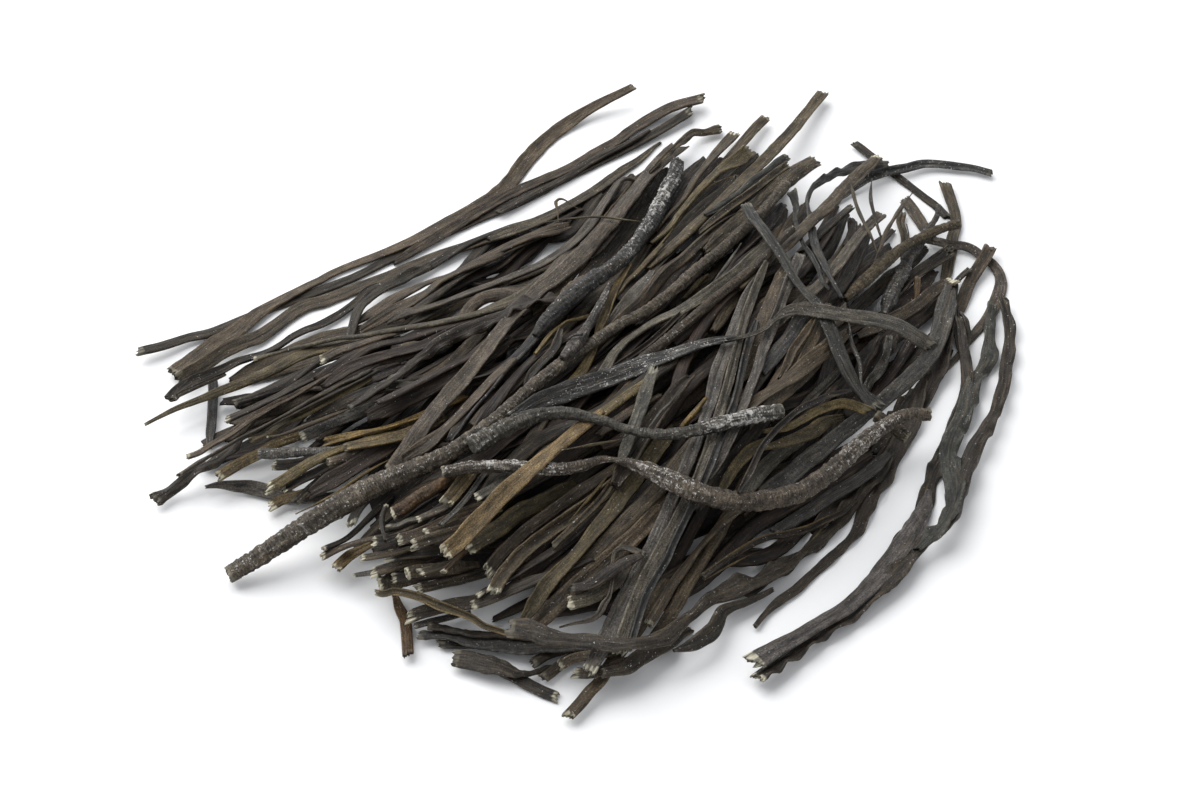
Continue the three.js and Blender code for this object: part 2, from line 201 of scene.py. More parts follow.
# Strands, folds and wisps at the upper right.
UPPER_RIGHT = (
    strand(FLAT, DARK, 2.4, (857, 145), (873, 158), (886, 169), (899, 178), (912, 188), (925, 198),
        (938, 208), (947, 217), pale=(0.1, 0.1)),
    strand(FLAT, TAUPE, 3.3, (906, 201), (913, 210), (919, 219), (925, 228), (935, 240)),
    strand(FLAT, BROWN, 2.2, (902, 214), (900, 222), (903, 231), (905, 241), (903, 258)),
    strand(THREAD, DARK, 1.0, (907, 224), (909, 234), (910, 246)),
    strand(FLAT, DARK, 2.7, (852, 222), (852, 232), (845, 246)),
    strand(FLAT, DARK, 3.6, (848, 210), (834, 222), (820, 234), (800, 252)),
    tucked(FLAT, DARK, 3.8, (925, 250), (905, 266), (886, 282), (866, 300), (845, 318)),
    tucked(FLAT, SHADE, 3.8, (934, 272), (920, 288), (902, 304), (884, 318), (862, 334)),
    tucked(FLAT, DARK, 3.4, (940, 298), (926, 314), (908, 328), (890, 340), (868, 352)),
    strand(FLAT, BROWN, 3.0, (946, 186), (951, 200), (955, 214), (956, 226), (953, 238), (952, 250),
        (949, 263), (946, 275), (942, 286)),
    strand(FLAT, TAUPE, (2.0, 2.6, 2.8, 2.8, 3.2, 3.4, 3.2, 2.6, 1.8, 1.4, 1.4), (929, 241), (940, 243),
        (951, 246), (962, 246), (972, 249), (981, 256), (992, 264), (1000, 276), (1000, 290), (992, 310),
        (984, 322), (974, 334), (966, 345), (950, 364), (936, 377)),
    strand(FLAT, BROWN, 3.4, (990, 248), (986, 257), (979, 268), (972, 279), (966, 291), (961, 303),
        (952, 320)),
    strand(FLAT, DARK, 2.0, (968, 270), (961, 276), (953, 284)),
    strand(FLAT, DARK, 2.0, (955, 286), (954, 299), (955, 313), (957, 328), (959, 342), (963, 360)),
    strand(FOLD, DARK, 3.4, (947, 252), (933, 262), (921, 270), (911, 279), (902, 290), (890, 304)),
    strand(FLAT, RUSSET, 1.8, (917, 279), (917, 290), (915, 302)),
    tucked(FLAT, DARK, 3.6, (938, 330), (920, 352), (902, 373), (882, 395), (866, 412)),
    tucked(FLAT, SHADE, 3.4, (916, 334), (903, 356), (888, 378), (868, 400)),
    tucked(FLAT, DARK, 3.4, (950, 352), (935, 374), (918, 396), (900, 416), (880, 434)),
    tucked(CRINKLE, DARK, 4.4, (951, 300), (949, 325), (944, 350), (936, 374), (926, 398), (912, 420)),
    tucked(CRINKLE, DARK, 4.6, (895, 330), (885, 350), (872, 372), (858, 396), (846, 416)),
    tucked(CRINKLE, SHADE, 4.0, (880, 335), (868, 356), (854, 380), (840, 402)),
    tucked(CRINKLE, DARK, 4.0, (912, 392), (900, 412), (888, 432), (874, 452)),
    strand(FLAT, TAUPE, 3.5, (880, 216), (866, 229), (855, 241), (844, 256), (833, 271), (815, 290),
        (790, 312), (760, 335)),
    strand(STEM, GREY, (1.4, 1.5, 2.6, 3.4, 3.2, 4.0, 4.2, 3.4), (938, 206), (937, 215), (932, 224),
        (925, 234), (916, 247), (908, 257), (904, 269), (897, 281), (892, 292), (888, 303), (884, 315),
        salt=0.5, lift=(2, 0)),
    strand(STEM, BROWN, (2.4, 2.6, 2.8, 3.2, 3.2, 3.2), (959, 224), (947, 227), (936, 231), (924, 237),
        (913, 242), (903, 248), (890, 258), (880, 267), (869, 277), (858, 287), (846, 299),
        salt=(0.2, 0.25, 0.3, 0.35, 0.25)),
    strand(FLAT, BROWN, 3.3, (950, 282), (940, 287), (927, 296), (916, 305), (904, 313), (892, 319),
        (880, 326), (860, 336), pale=(1.0, 0.0)),
    strand(CRINKLE, DARK, 1.2, (961, 313), (965, 320), (968, 330), (969, 338), (966, 350)),
    strand(CRINKLE, CHARCOAL, (2.8, 3.0, 2.8, 1.4, 1.4, 2.2, 1.8, 1.2, 1.2), (884, 165), (866, 165),
        (846, 170), (832, 174), (821, 181), (813, 187), (809, 195), (808, 205), (810, 218), (812, 230),
        (815, 245), (821, 258), (827, 271), (834, 284), (841, 297)),
    strand(CRINKLE, CHARCOAL, (2.6, 1.4, 1.1, 1.2, 1.3, 1.4), (792, 194), (796, 208), (795, 220), (798, 230),
        (804, 245), (812, 256), (819, 270), (823, 282), (830, 290)),
    strand(FOLD, CHARCOAL, (2.4, 2.9, 2.9, 2.8), (990, 173), (975, 169), (958, 167), (940, 165), (922, 165),
        (905, 169), (891, 171), (879, 174), (868, 177), (850, 188), (830, 203), salt=0.5),
    strand(FLAT, BROWN, 3.7, (876, 158), (858, 174), (841, 191), (826, 208), (810, 222), (790, 242),
        (770, 258), (740, 288), pale=(0.9, 0.0)),
    strand(THREAD, BROWN, 1.2, (850, 178), (854, 196), (858, 209), (864, 222), (871, 236), (875, 246),
        (879, 257)),
    strand(THREAD, DARK, 1.1, (872, 179), (871, 189), (871, 200), (874, 213), (878, 227), (881, 237),
        (883, 250)),
    strand(THREAD, BROWN, 1.1, (912, 193), (903, 205), (893, 220), (884, 236), (881, 247), (876, 257),
        (874, 265)),
)

# Short ends that stick out at the front left, all cut blunt and pale.
FRONT_ENDS = tuple(replace(track, pale=(0.85, 0.0)) for track in (
    strand(FLAT, GREY, (0.8, 1.6, 2.0), (354, 575), (370, 573), (390, 570), (412, 565)),
    strand(STEM, BROWN, 3.6, (381, 585), (392, 582), (420, 575), (460, 566)),
    strand(FLAT, DARK, 2.7, (394, 579), (420, 577), (450, 572), (480, 565)),
    strand(FLAT, BROWN, 2.4, (420, 588), (444, 583), (467, 578), (490, 572), (530, 558)),
    strand(FLAT, BROWN, 2.9, (375, 572), (390, 567), (405, 561), (440, 553)),
    strand(FLAT, DARK, 3.3, (392, 556), (409, 554), (437, 551), (470, 548), (505, 545)),
    strand(FLAT, BROWN, 1.8, (363, 558), (378, 555), (391, 553), (415, 548)),
    strand(STEM, BROWN, 3.0, (407, 574), (414, 572), (432, 571), (455, 568), (478, 565)),
    strand(FLAT, BROWN, 2.0, (422, 572), (438, 568), (460, 560)),
    strand(FLAT, RUSSET, 1.3, (444, 572), (453, 563), (461, 556), (475, 545)),
    strand(FLAT, TAN, 3.0, (337, 567), (349, 556), (356, 552), (370, 545)),
    strand(FLAT, BROWN, 3.2, (324, 556), (343, 547), (365, 540), (395, 533), (425, 520)),
    strand(FLAT, DARK, 2.6, (374, 541), (386, 540), (402, 535)),
    strand(FLAT, DARK, 2.1, (324, 549), (343, 541), (357, 530), (369, 518), (379, 508), (392, 497)),
    strand(FLAT, GREY, 3.8, (353, 522), (357, 513), (364, 503), (374, 492), (386, 482)),
    strand(FLAT, DARK, 1.2, (386, 506), (382, 516), (382, 528), (385, 540)),
    strand(FLAT, GREY, 3.2, (388, 527), (398, 526), (409, 521), (421, 519), (445, 512)),
    strand(FLAT, BROWN, 2.9, (400, 539), (404, 538), (421, 533), (438, 526), (455, 518), (473, 511),
        (495, 503)),
    strand(FLAT, BROWN, 2.0, (426, 532), (445, 527), (470, 519), (500, 510)),
    strand(FLAT, BROWN, 2.7, (415, 544), (438, 537), (465, 530), (490, 524)),
    strand(STEM, RUSSET, 3.2, (394, 513), (404, 508), (418, 497), (428, 492), (438, 486), (455, 476),
        (475, 466)),
    strand(FLAT, TAUPE, (2.0, 2.6, 2.4), (418, 519), (428, 515), (438, 511), (447, 507), (460, 498)),
    strand(FLAT, TAN, 3.6, (448, 501), (455, 493), (464, 481), (478, 466)),
    strand(FLAT, GREY, 2.4, (478, 498), (505, 482), (535, 463)),
))

# Ends that stick out at the left.
LEFT_ENDS = (
    strand(FLAT, GREY, (0.9, 2.8, 3.8, 3.9, 3.6, 2.8, 1.8), (206, 487), (219, 485), (237, 486), (256, 488),
        (271, 492), (292, 496), (312, 498), (335, 494)),
    strand(FLAT, TAN, 2.9, (221, 475), (237, 465), (250, 458), (260, 453), (272, 446), (286, 440), (310, 433),
        lift=(2, 0), pale=(0.5, 0.0)),
    strand(FLAT, DARK, 2.7, (275, 465), (284, 465), (305, 462), (340, 455), pale=(0.9, 0.0)),
    strand(FLAT, TAN, 2.7, (273, 506), (284, 500), (298, 496), (330, 482), pale=(0.7, 0.0)),
    strand(FLAT, TAUPE, 2.1, (297, 500), (304, 493), (313, 485), (323, 477), (335, 470), (360, 458),
        (395, 443)),
    strand(FOLD, DARK, 3.0, (285, 489), (298, 482), (317, 474), (330, 467), (345, 462), (385, 447),
        pale=(0.9, 0.0)),
    strand(STEM, GREY, 2.7, (259, 453), (274, 453), (298, 452), (330, 452), (360, 448), (385, 445), salt=0.4),
    strand(FLAT, TAN, 3.0, (272, 486), (276, 484), (292, 474), (310, 463), (330, 453), (345, 447), (370, 438),
        (410, 425), pale=(0.8, 0.0)),
    strand(FLAT, BROWN, 2.4, (330, 462), (352, 455), (385, 445)),
    strand(FLAT, GREY, 3.2, (304, 436), (312, 432), (320, 427), (330, 423), (360, 412), (400, 395),
        pale=(1.0, 0.0)),
    strand(FLAT, OCHRE, 2.4, (327, 442), (355, 435), (390, 427), (425, 415), (465, 397)),
    tucked(FLAT, SHADE, 4.4, (312, 492), (334, 479), (354, 467), (378, 452), (400, 438)),
    strand(FLAT, TAN, 3.3, (348, 447), (380, 441), (410, 432), (445, 417)),
    strand(THREAD, BROWN, 1.3, (267, 437), (280, 435), (292, 431), (310, 424), (330, 416), (360, 404),
        pale=(0.8, 0.0)),
    strand(THREAD, TAN, 1.0, (296, 514), (310, 507), (330, 497), (345, 488), (370, 471), (395, 457)),
)

# Strands over the upper middle, up to the far edge.
UPPER_MIDDLE = (
    tucked(FLAT, DARK, 4.0, (704, 160), (688, 177), (672, 197), (655, 217), (638, 240)),
    tucked(FLAT, SHADE, 4.0, (720, 160), (704, 178), (687, 198), (670, 219), (652, 243)),
    tucked(FLAT, DARK, 4.0, (740, 160), (722, 179), (704, 199), (686, 221), (668, 244)),
    tucked(FLAT, BROWN, 3.6, (757, 158), (740, 175), (722, 194), (704, 214), (686, 236)),
    tucked(FLAT, DARK, 4.2, (775, 165), (756, 182), (737, 200), (718, 219), (698, 240)),
    tucked(FLAT, DARK, 4.6, (634, 176), (620, 194), (605, 214), (589, 236), (571, 259), (553, 281),
        (537, 299), (522, 314)),
    tucked(FLAT, BROWN, 4.2, (620, 184), (604, 205), (587, 228), (568, 252), (549, 274), (530, 294)),
    tucked(FLAT, BROWN, 4.4, (648, 172), (634, 190), (619, 210), (602, 232), (584, 254), (566, 275),
        (550, 293), (533, 310)),
    tucked(FLAT, DARK, 4.4, (668, 170), (655, 188), (641, 208), (626, 230), (610, 252), (592, 274),
        (574, 292), (555, 309)),
    tucked(FLAT, DARK, 3.6, (654, 176), (640, 193), (624, 213), (607, 235), (588, 258)),
    tucked(FLAT, SHADE, 4.8, (368, 416), (390, 405), (440, 381), (480, 358), (510, 340)),
    tucked(FLAT, SHADE, 4.2, (378, 402), (420, 382), (470, 356), (505, 338)),
    tucked(FLAT, TAUPE, (3.6, 4.0, 4.0, 3.6, 2.4, 1.0), (490, 240), (540, 220), (566, 207), (585, 197),
        (604, 185), (623, 171), (637, 162), (646, 155), (655, 147), (661, 143)),
    strand(FLAT, DARK, 5.5, (742, 182), (720, 200), (700, 216), (680, 236), (662, 256), (643, 278),
        (622, 300)),
    strand(FLAT, CHARCOAL, 5.0, (775, 178), (748, 197), (722, 214), (700, 230), (675, 250)),
    strand(FLAT, DARK, 4.4, (760, 205), (735, 226), (710, 248), (686, 272), (664, 298), (640, 325)),
    tucked(FLAT, GREY, 3.0, (652, 272), (648, 278), (635, 292), (622, 308), (612, 322), (600, 336)),
    tucked(FLAT, DARK, 3.0, (700, 252), (690, 262), (680, 274), (668, 288), (655, 300), (642, 312)),
    tucked(FLAT, BROWN, 3.5, (720, 226), (700, 243), (690, 252), (678, 262), (667, 270), (655, 283),
        (647, 294), (638, 305), (627, 315), (612, 328)),
    strand(THREAD, TAUPE, 0.8, (742, 211), (726, 219), (710, 230), (694, 244), (681, 257), (667, 267),
        (655, 281), (645, 296)),
    strand(FLAT, BROWN, 3.0, (765, 118), (757, 126), (750, 134), (740, 145), (725, 162), (700, 190),
        lift=(2, 0), pale=(0.5, 0.0)),
    strand(FLAT, BROWN, 3.4, (822, 94), (806, 114), (791, 132), (776, 148), (761, 163), (746, 177),
        (718, 203), (685, 234), (648, 268), lift=(2, 0), pale=(0.3, 0.0)),
    strand(FLAT, CHARCOAL, 2.4, (785, 158), (780, 161), (774, 166), (765, 174), (752, 182), (740, 194),
        (723, 205), (706, 215)),
    strand(FOLD, BROWN, 2.0, (786, 165), (779, 170), (769, 178), (758, 187), (746, 196), (730, 208),
        (700, 232)),
    strand(FLAT, TAUPE, (4.2, 4.8, 4.4, 3.6), (813, 162), (806, 166), (792, 176), (778, 187), (765, 198),
        (755, 207), (735, 225), (705, 250)),
    strand(THREAD, TAN, 0.7, (737, 175), (720, 181), (707, 189), (694, 202), (681, 217), (668, 236),
        (650, 256), (630, 276)),
    strand(FLAT, OLIVE, (4.2, 4.0, 3.0, 2.6, 2.2, 1.4), (747, 151), (735, 161), (724, 168), (713, 177),
        (698, 192), (687, 205), (678, 216), (671, 226), (662, 235), (651, 243)),
    strand(FLAT, BROWN, (3.4, 3.4, 3.2, 2.2, 1.6, 1.3), (734, 135), (720, 150), (707, 165), (694, 181),
        (685, 197), (675, 208), (663, 220), (655, 231), lift=(2, 0), pale=(0.9, 0.0)),
    tucked(FLAT, TAUPE, (2.6, 2.6, 3.0, 3.8, 3.8, 3.6, 3.0, 1.4), (388, 322), (403, 314), (423, 310),
        (444, 304), (460, 298), (500, 282), (540, 265), (563, 251), (578, 238), (591, 224), (601, 208),
        (612, 192), (619, 182), (627, 178), (636, 180)),
    tucked(FLAT, OLIVE, (1.4, 1.8, 2.0, 1.6, 1.2), (663, 245), (653, 255), (643, 266), (635, 275), (628, 281),
        (620, 291), (612, 302)),
    strand(FLAT, DARK, 3.4, (766, 246), (740, 264), (712, 287), (690, 303), (660, 322)),
    strand(FLAT, GREY, (2.8, 3.0, 3.0, 3.0, 2.8), (769, 243), (752, 257), (735, 272), (719, 284), (705, 294),
        (691, 304), (678, 312), (662, 318), (649, 325), (636, 334), (627, 340), (619, 348), (613, 355),
        (608, 364), (601, 375), (594, 386)),
    strand(FOLD, DARK, 1.3, (680, 315), (669, 325), (659, 334), (646, 345), (632, 355), (619, 363),
        (608, 370)),
    strand(STEM, BROWN, (2.0, 2.6, 2.7, 2.7, 2.4), (793, 229), (786, 235), (775, 247), (758, 265), (740, 279),
        (726, 290), (713, 300), (699, 313), (685, 325), (671, 337), (655, 350), (643, 359), (630, 367),
        salt=0.3, pale=(0.7, 0.0)),
    strand(THREAD, GREY, 1.0, (741, 243), (733, 255), (726, 266), (717, 277), (711, 285)),
    strand(FLAT, OLIVE, (0.8, 1.6, 1.0), (708, 276), (699, 282), (691, 291), (683, 299)),
    strand(FLAT, TAUPE, (4.3, 4.3, 4.5, 4.8, 4.8), (392, 470), (415, 437), (440, 405), (470, 370), (500, 333),
        (512, 318), (527, 303), (540, 290), (553, 281), (566, 269), (585, 251), (598, 235), (612, 220),
        (623, 205), (636, 189), (649, 174), (663, 159), (676, 148), pale=(0.15, 0.15)),
    strand(CRINKLE, BROWN, (3.4, 3.0, 2.0, 1.4, 1.4), (718, 129), (707, 131), (694, 133), (685, 139),
        (676, 146), (664, 157), (650, 172), lean=0.5),
    strand(CRINKLE, DARK, (2.7, 2.7, 3.4, 4.4, 4.4), (350, 406), (361, 399), (372, 392), (387, 382),
        (403, 371), (413, 362), (428, 352), (438, 344), (454, 336), (480, 325), (500, 317), (515, 306),
        (540, 300), (562, 296)),
    tucked(FOLD, CHARCOAL, (3.6, 4.0, 3.8, 3.0), (592, 284), (562, 305), (545, 325), (528, 347), (508, 369),
        (488, 393), (468, 416), (450, 440)),
    tucked(FLAT, BROWN, 3.6, (405, 458), (430, 442), (455, 420), (478, 396), (497, 376), (514, 360)),
    tucked(FLAT, TAN, (1.6, 1.8, 1.6, 0.8), (536, 354), (540, 349), (550, 336), (559, 328), (567, 322),
        (580, 319), (590, 316)),
    tucked(FOLD, DARK, 2.4, (561, 330), (556, 347), (543, 362), (532, 374), (526, 386)),
    tucked(FLAT, TAN, (0.8, 0.9, 1.4, 3.0, 3.0, 2.0, 1.6, 2.6, 2.6, 2.4, 2.2), (513, 420), (525, 405),
        (540, 398), (553, 393), (563, 390), (573, 382), (582, 372), (587, 362), (593, 350), (599, 330),
        (604, 319), (609, 307), (614, 294), (622, 279), (630, 266)),
    tucked(STEM, TAUPE, (1.4, 3.6, 4.0, 3.0), (593, 271), (583, 280), (572, 290), (562, 302), (552, 314),
        salt=0.5),
    strand(STEM, CHARCOAL, (3.4, 4.5, 4.6, 4.2, 4.0, 4.2, 4.2, 3.8), (678, 163), (675, 177), (668, 191),
        (662, 203), (655, 217), (646, 230), (635, 245), (623, 258), (612, 268), (595, 279), (582, 289),
        (568, 300), (555, 312), (545, 323), (535, 336), salt=(0.35, 0.95, 0.9, 0.5, 0.3, 0.3),
        pale=(0.2, 0.0)),
    strand(THREAD, OLIVE, 0.9, (558, 222), (557, 210), (555, 203), (559, 199), (566, 201), (572, 206),
        (579, 209), lift=(2, 2)),
    strand(THREAD, OLIVE, 0.8, (545, 222), (559, 220), (578, 218), (601, 217), (619, 219), (636, 221),
        (646, 222)),
)

# Strands along the bottom edge and the bottom right.
BOTTOM = (
    strand(FLAT, DARK, 3.0, (503, 672), (515, 678), (528, 685), (541, 691), (554, 696), pale=(0.1, 1.0)),
    strand(CRINKLE, DARK, (4.2, 4.6, 5.0, 4.2, 1.8, 1.4, 1.4), (458, 659), (470, 660), (483, 663), (496, 666),
        (509, 671), (519, 674), (535, 673), (547, 668), (556, 666), lift=(2, 0)),
    strand(FLAT, DARK, 2.4, (444, 645), (458, 645), (477, 645), (510, 648)),
    strand(FLAT, BROWN, 3.2, (569, 714), (580, 703), (590, 691), (600, 681), (612, 663), (640, 625),
        (665, 580), lift=(2, 0), pale=(0.6, 0.0)),
    strand(FLAT, DARK, 3.0, (535, 662), (547, 655), (560, 651), (590, 645), lift=(2, 0)),
    strand(FLAT, BROWN, 2.4, (546, 677), (554, 671), (566, 661), (585, 650)),
    strand(FLAT, BROWN, 2.6, (562, 665), (567, 662), (579, 657), (620, 652), pale=(1.0, 0.0)),
    strand(FLAT, BROWN, 2.7, (577, 673), (592, 673), (612, 668), (640, 655), pale=(0.4, 0.0)),
    strand(CRINKLE, CHARCOAL, (2.4, 3.8, 4.8, 5.0, 4.6), (422, 635), (438, 635), (454, 636), (470, 640),
        (490, 643), (509, 646), (528, 648), (547, 646), (575, 645), (605, 642), lift=(2, 0)),
    strand(CRINKLE, DARK, 2.4, (430, 628), (445, 628), (458, 630), (472, 634), (490, 634), (509, 636),
        (540, 640)),
    strand(FLAT, RUSSET, 2.6, (395, 595), (399, 607), (405, 621), (407, 640), (408, 652), lift=(0, 2),
        pale=(0.0, 0.1)),
    strand(FLAT, GREY, 1.6, (415, 625), (430, 621), (444, 618), (470, 612)),
    strand(CRINKLE, DARK, (2.4, 3.4, 3.2), (604, 673), (611, 671), (627, 667), (637, 659), (650, 651),
        (661, 645), (690, 630)),
    tucked(FLAT, DARK, (3.4, 4.2, 4.2), (812, 530), (830, 512), (848, 496), (866, 480), (882, 462),
        (896, 440)),
    strand(CRINKLE, DARK, (1.4, 2.0, 2.4, 2.6, 2.8, 3.6, 4.6, 5.0, 5.4, 5.0, 4.4, 3.8), (755, 626),
        (766, 612), (780, 600), (795, 590), (809, 577), (826, 563), (840, 550), (853, 538), (861, 524),
        (867, 508), (875, 491), (883, 475), (891, 458), (900, 440), (909, 420), (916, 398), (926, 372)),
    strand(CRINKLE, DARK, (3.0, 4.2, 4.6, 4.2), (735, 592), (757, 585), (773, 574), (788, 563), (802, 554),
        (814, 545), (829, 532), (841, 518), (850, 505), (860, 489), (876, 473), (890, 452)),
    strand(FLAT, CHARCOAL, (3.0, 4.4, 4.6, 4.2), (777, 532), (795, 520), (815, 508), (834, 495), (855, 482),
        (872, 470), (888, 455)),
    strand(FOLD, DARK, 1.6, (704, 576), (718, 565), (735, 554), (752, 544), (768, 538), (785, 535),
        (807, 529), (823, 521), (841, 513), (856, 500)),
    strand(THREAD, TAN, 0.5, (704, 573), (718, 562), (735, 551), (752, 541), (768, 535), (785, 532),
        (807, 526), (823, 518), (841, 510)),
    strand(THREAD, TAN, 0.5, (705, 580), (728, 566), (746, 556), (758, 551)),
    strand(THREAD, TAN, 0.5, (801, 550), (812, 540), (820, 531), (833, 519)),
)

# Strands that run back from the front.
FRONT = (
    strand(FLAT, DARK, 3.3, (412, 616), (432, 610), (455, 605), (478, 601), (515, 588), (555, 575),
        pale=(1.0, 0.0)),
    strand(FLAT, DARK, 2.7, (474, 605), (484, 602), (501, 595), (520, 587), (550, 575), (590, 560),
        pale=(0.6, 0.0)),
    strand(FLAT, GREY, 1.3, (441, 524), (455, 510), (467, 497), (478, 482), (490, 466)),
    strand(FLAT, OLIVE, 4.2, (470, 545), (490, 532), (501, 526), (520, 512), (545, 500), (575, 484),
        pale=(0.8, 0.0)),
    strand(FLAT, BROWN, 3.2, (489, 569), (493, 564), (501, 554), (511, 545), (520, 536), (540, 521),
        (565, 502), (595, 482), (630, 460), (665, 438), pale=(0.8, 0.0)),
    strand(FLAT, DARK, 3.0, (480, 594), (489, 588), (505, 581), (535, 562), (565, 541), (595, 515),
        (625, 490), pale=(1.0, 0.0)),
    strand(FOLD, BROWN, 3.4, (495, 590), (501, 578), (511, 565), (520, 554), (540, 537), (570, 517),
        (600, 495), (630, 470), (655, 450), pale=(0.8, 0.0)),
    tucked(FLAT, BROWN, 4.5, (532, 630), (548, 614), (575, 588), (610, 558), (645, 525), (672, 497)),
    tucked(FLAT, OLIVE, (3.4, 3.8, 4.2, 4.0), (522, 621), (530, 610), (543, 590), (561, 570), (580, 550),
        (596, 530), (612, 510), (627, 490), (642, 470), (656, 450), (674, 428)),
    strand(FOLD, BROWN, 1.8, (555, 545), (590, 512), (612, 485), (630, 455)),
    strand(THREAD, TAN, 0.9, (618, 462), (605, 480), (592, 495), (580, 508), (568, 522)),
    strand(FOLD, OLIVE, (1.6, 2.0, 2.2, 1.6, 1.2), (377, 593), (384, 594), (391, 591), (403, 592), (421, 597),
        (438, 605), (455, 611), (473, 618), (484, 625), (501, 631), (520, 638), pale=(0.4, 0.0)),
)

# Strands from the middle to the right.
RIGHT_MIDDLE = (
    tucked(FOLD, DARK, (3.6, 5.0, 4.6), (690, 378), (678, 390), (668, 404), (657, 418), (648, 430),
        (632, 455), (615, 485)),
    tucked(FLAT, TAN, 3.0, (655, 377), (645, 383), (620, 400), (600, 415), (580, 430)),
    tucked(FLAT, BROWN, 2.6, (660, 396), (638, 407), (620, 419), (600, 434)),
    strand(FLAT, BROWN, 3.6, (845, 312), (815, 340), (790, 365), (770, 390)),
    tucked(FLAT, CHARCOAL, 4.0, (815, 300), (800, 320), (788, 340), (774, 356), (763, 372)),
    tucked(FLAT, BROWN, 2.8, (828, 305), (818, 328), (810, 345), (798, 366)),
    tucked(FOLD, BROWN, 2.2, (815, 318), (802, 338), (793, 350), (788, 362), (780, 378)),
    tucked(FLAT, DARK, 3.6, (772, 408), (750, 436), (730, 461), (712, 487), (698, 508)),
    tucked(FLAT, BROWN, 3.0, (818, 365), (800, 380), (785, 393), (770, 405), (750, 425)),
    tucked(FLAT, BROWN, 4.4, (846, 334), (833, 345), (815, 358), (800, 370), (785, 382), (770, 392),
        (755, 402), (742, 415), (725, 435), (705, 458)),
    tucked(FLAT, GREY, 2.0, (843, 367), (826, 384), (812, 397), (797, 411)),
    tucked(FLAT, DARK, 2.2, (850, 374), (832, 392), (815, 408), (795, 424)),
    tucked(FLAT, BROWN, 3.5, (790, 262), (780, 280), (770, 305), (760, 332), (750, 358), (742, 380)),
    strand(FLAT, GREY, 2.8, (800, 256), (787, 285), (778, 310), (770, 330), (763, 348), (757, 370),
        (750, 390), (742, 412), (733, 432), (722, 455), (708, 480)),
    strand(FLAT, BROWN, 3.2, (655, 637), (666, 623), (679, 601), (689, 582), (700, 564), (707, 551),
        (716, 538), (733, 505), (757, 460)),
    strand(FLAT, BROWN, 2.6, (650, 622), (663, 601), (675, 581), (688, 563), (698, 549), (720, 525),
        (750, 500), pale=(0.4, 0.0)),
    strand(FLAT, ASH, (4.2, 4.0, 3.4, 2.8, 3.2, 3.6, 3.4, 3.2), (591, 668), (606, 640), (623, 600),
        (634, 579), (645, 560), (655, 541), (667, 512), (680, 480), (695, 446), (709, 408), (718, 372),
        (728, 345), (742, 312), (757, 278), lift=(2, 0), pale=(0.6, 0.0)),
    strand(FLAT, ASH, (3.6, 3.4, 2.8, 2.4, 2.6, 2.6, 2.4, 2.2), (620, 650), (623, 640), (636, 600),
        (645, 579), (655, 560), (665, 541), (676, 520), (690, 492), (702, 466), (714, 431), (724, 396),
        (733, 362), (741, 330), (752, 296), (766, 262), lift=(2, 0), pale=(1.0, 0.0)),
    strand(FOLD, CHARCOAL, (1.7, 1.8, 2.0), (630, 648), (633, 640), (645, 600), (655, 579), (666, 560),
        (674, 541), (684, 520), (698, 492), (710, 466), (721, 438), (731, 410), (738, 385), (746, 352),
        (756, 322), pale=(0.4, 0.0)),
    strand(FLAT, GREY, 3.4, (653, 373), (648, 385), (644, 400), (638, 418), (630, 438), (621, 462),
        pale=(0.3, 0.0)),
    strand(CRINKLE, DARK, (4.6, 4.6, 4.0, 3.8, 4.2, 3.2, 3.8, 5.4, 4.6, 2.4), (513, 627), (522, 628),
        (535, 631), (547, 636), (567, 639), (586, 641), (617, 644), (637, 643), (656, 640), (669, 635),
        (682, 623), (695, 613), (707, 601), (720, 594), (740, 585), (760, 578), (785, 567), (805, 553),
        pale=(0.2, 0.0)),
    strand(FLAT, DARK, (0.8, 3.4, 4.2, 3.4, 2.2, 1.8, 2.2), (674, 650), (688, 646), (701, 640), (714, 630),
        (720, 619), (723, 612), (733, 607), (746, 603), (760, 597), (772, 590)),
    tucked(FLAT, OLIVE, 3.0, (766, 440), (752, 449), (740, 461), (730, 475), (720, 493)),
    tucked(FLAT, GREY, 4.0, (808, 436), (795, 443), (778, 455), (765, 467), (752, 483), (742, 496)),
    tucked(FLAT, OLIVE, (2.6, 3.6, 3.4, 2.0), (842, 417), (828, 421), (812, 431), (796, 438), (778, 444),
        (764, 448)),
    strand(FLAT, GREY, (4.4, 4.4, 4.2, 4.0, 4.0, 4.0, 4.2, 5.0, 5.4, 4.8), (770, 490), (790, 475), (806, 461),
        (822, 449), (840, 434), (862, 417), (884, 400), (907, 380), (924, 364), (937, 342), (944, 318),
        (948, 300), (950, 288)),
    strand(CRINKLE, GREY, (2.0, 3.3, 3.0, 2.0), (889, 338), (886, 355), (880, 370), (869, 381), (864, 394)),
)

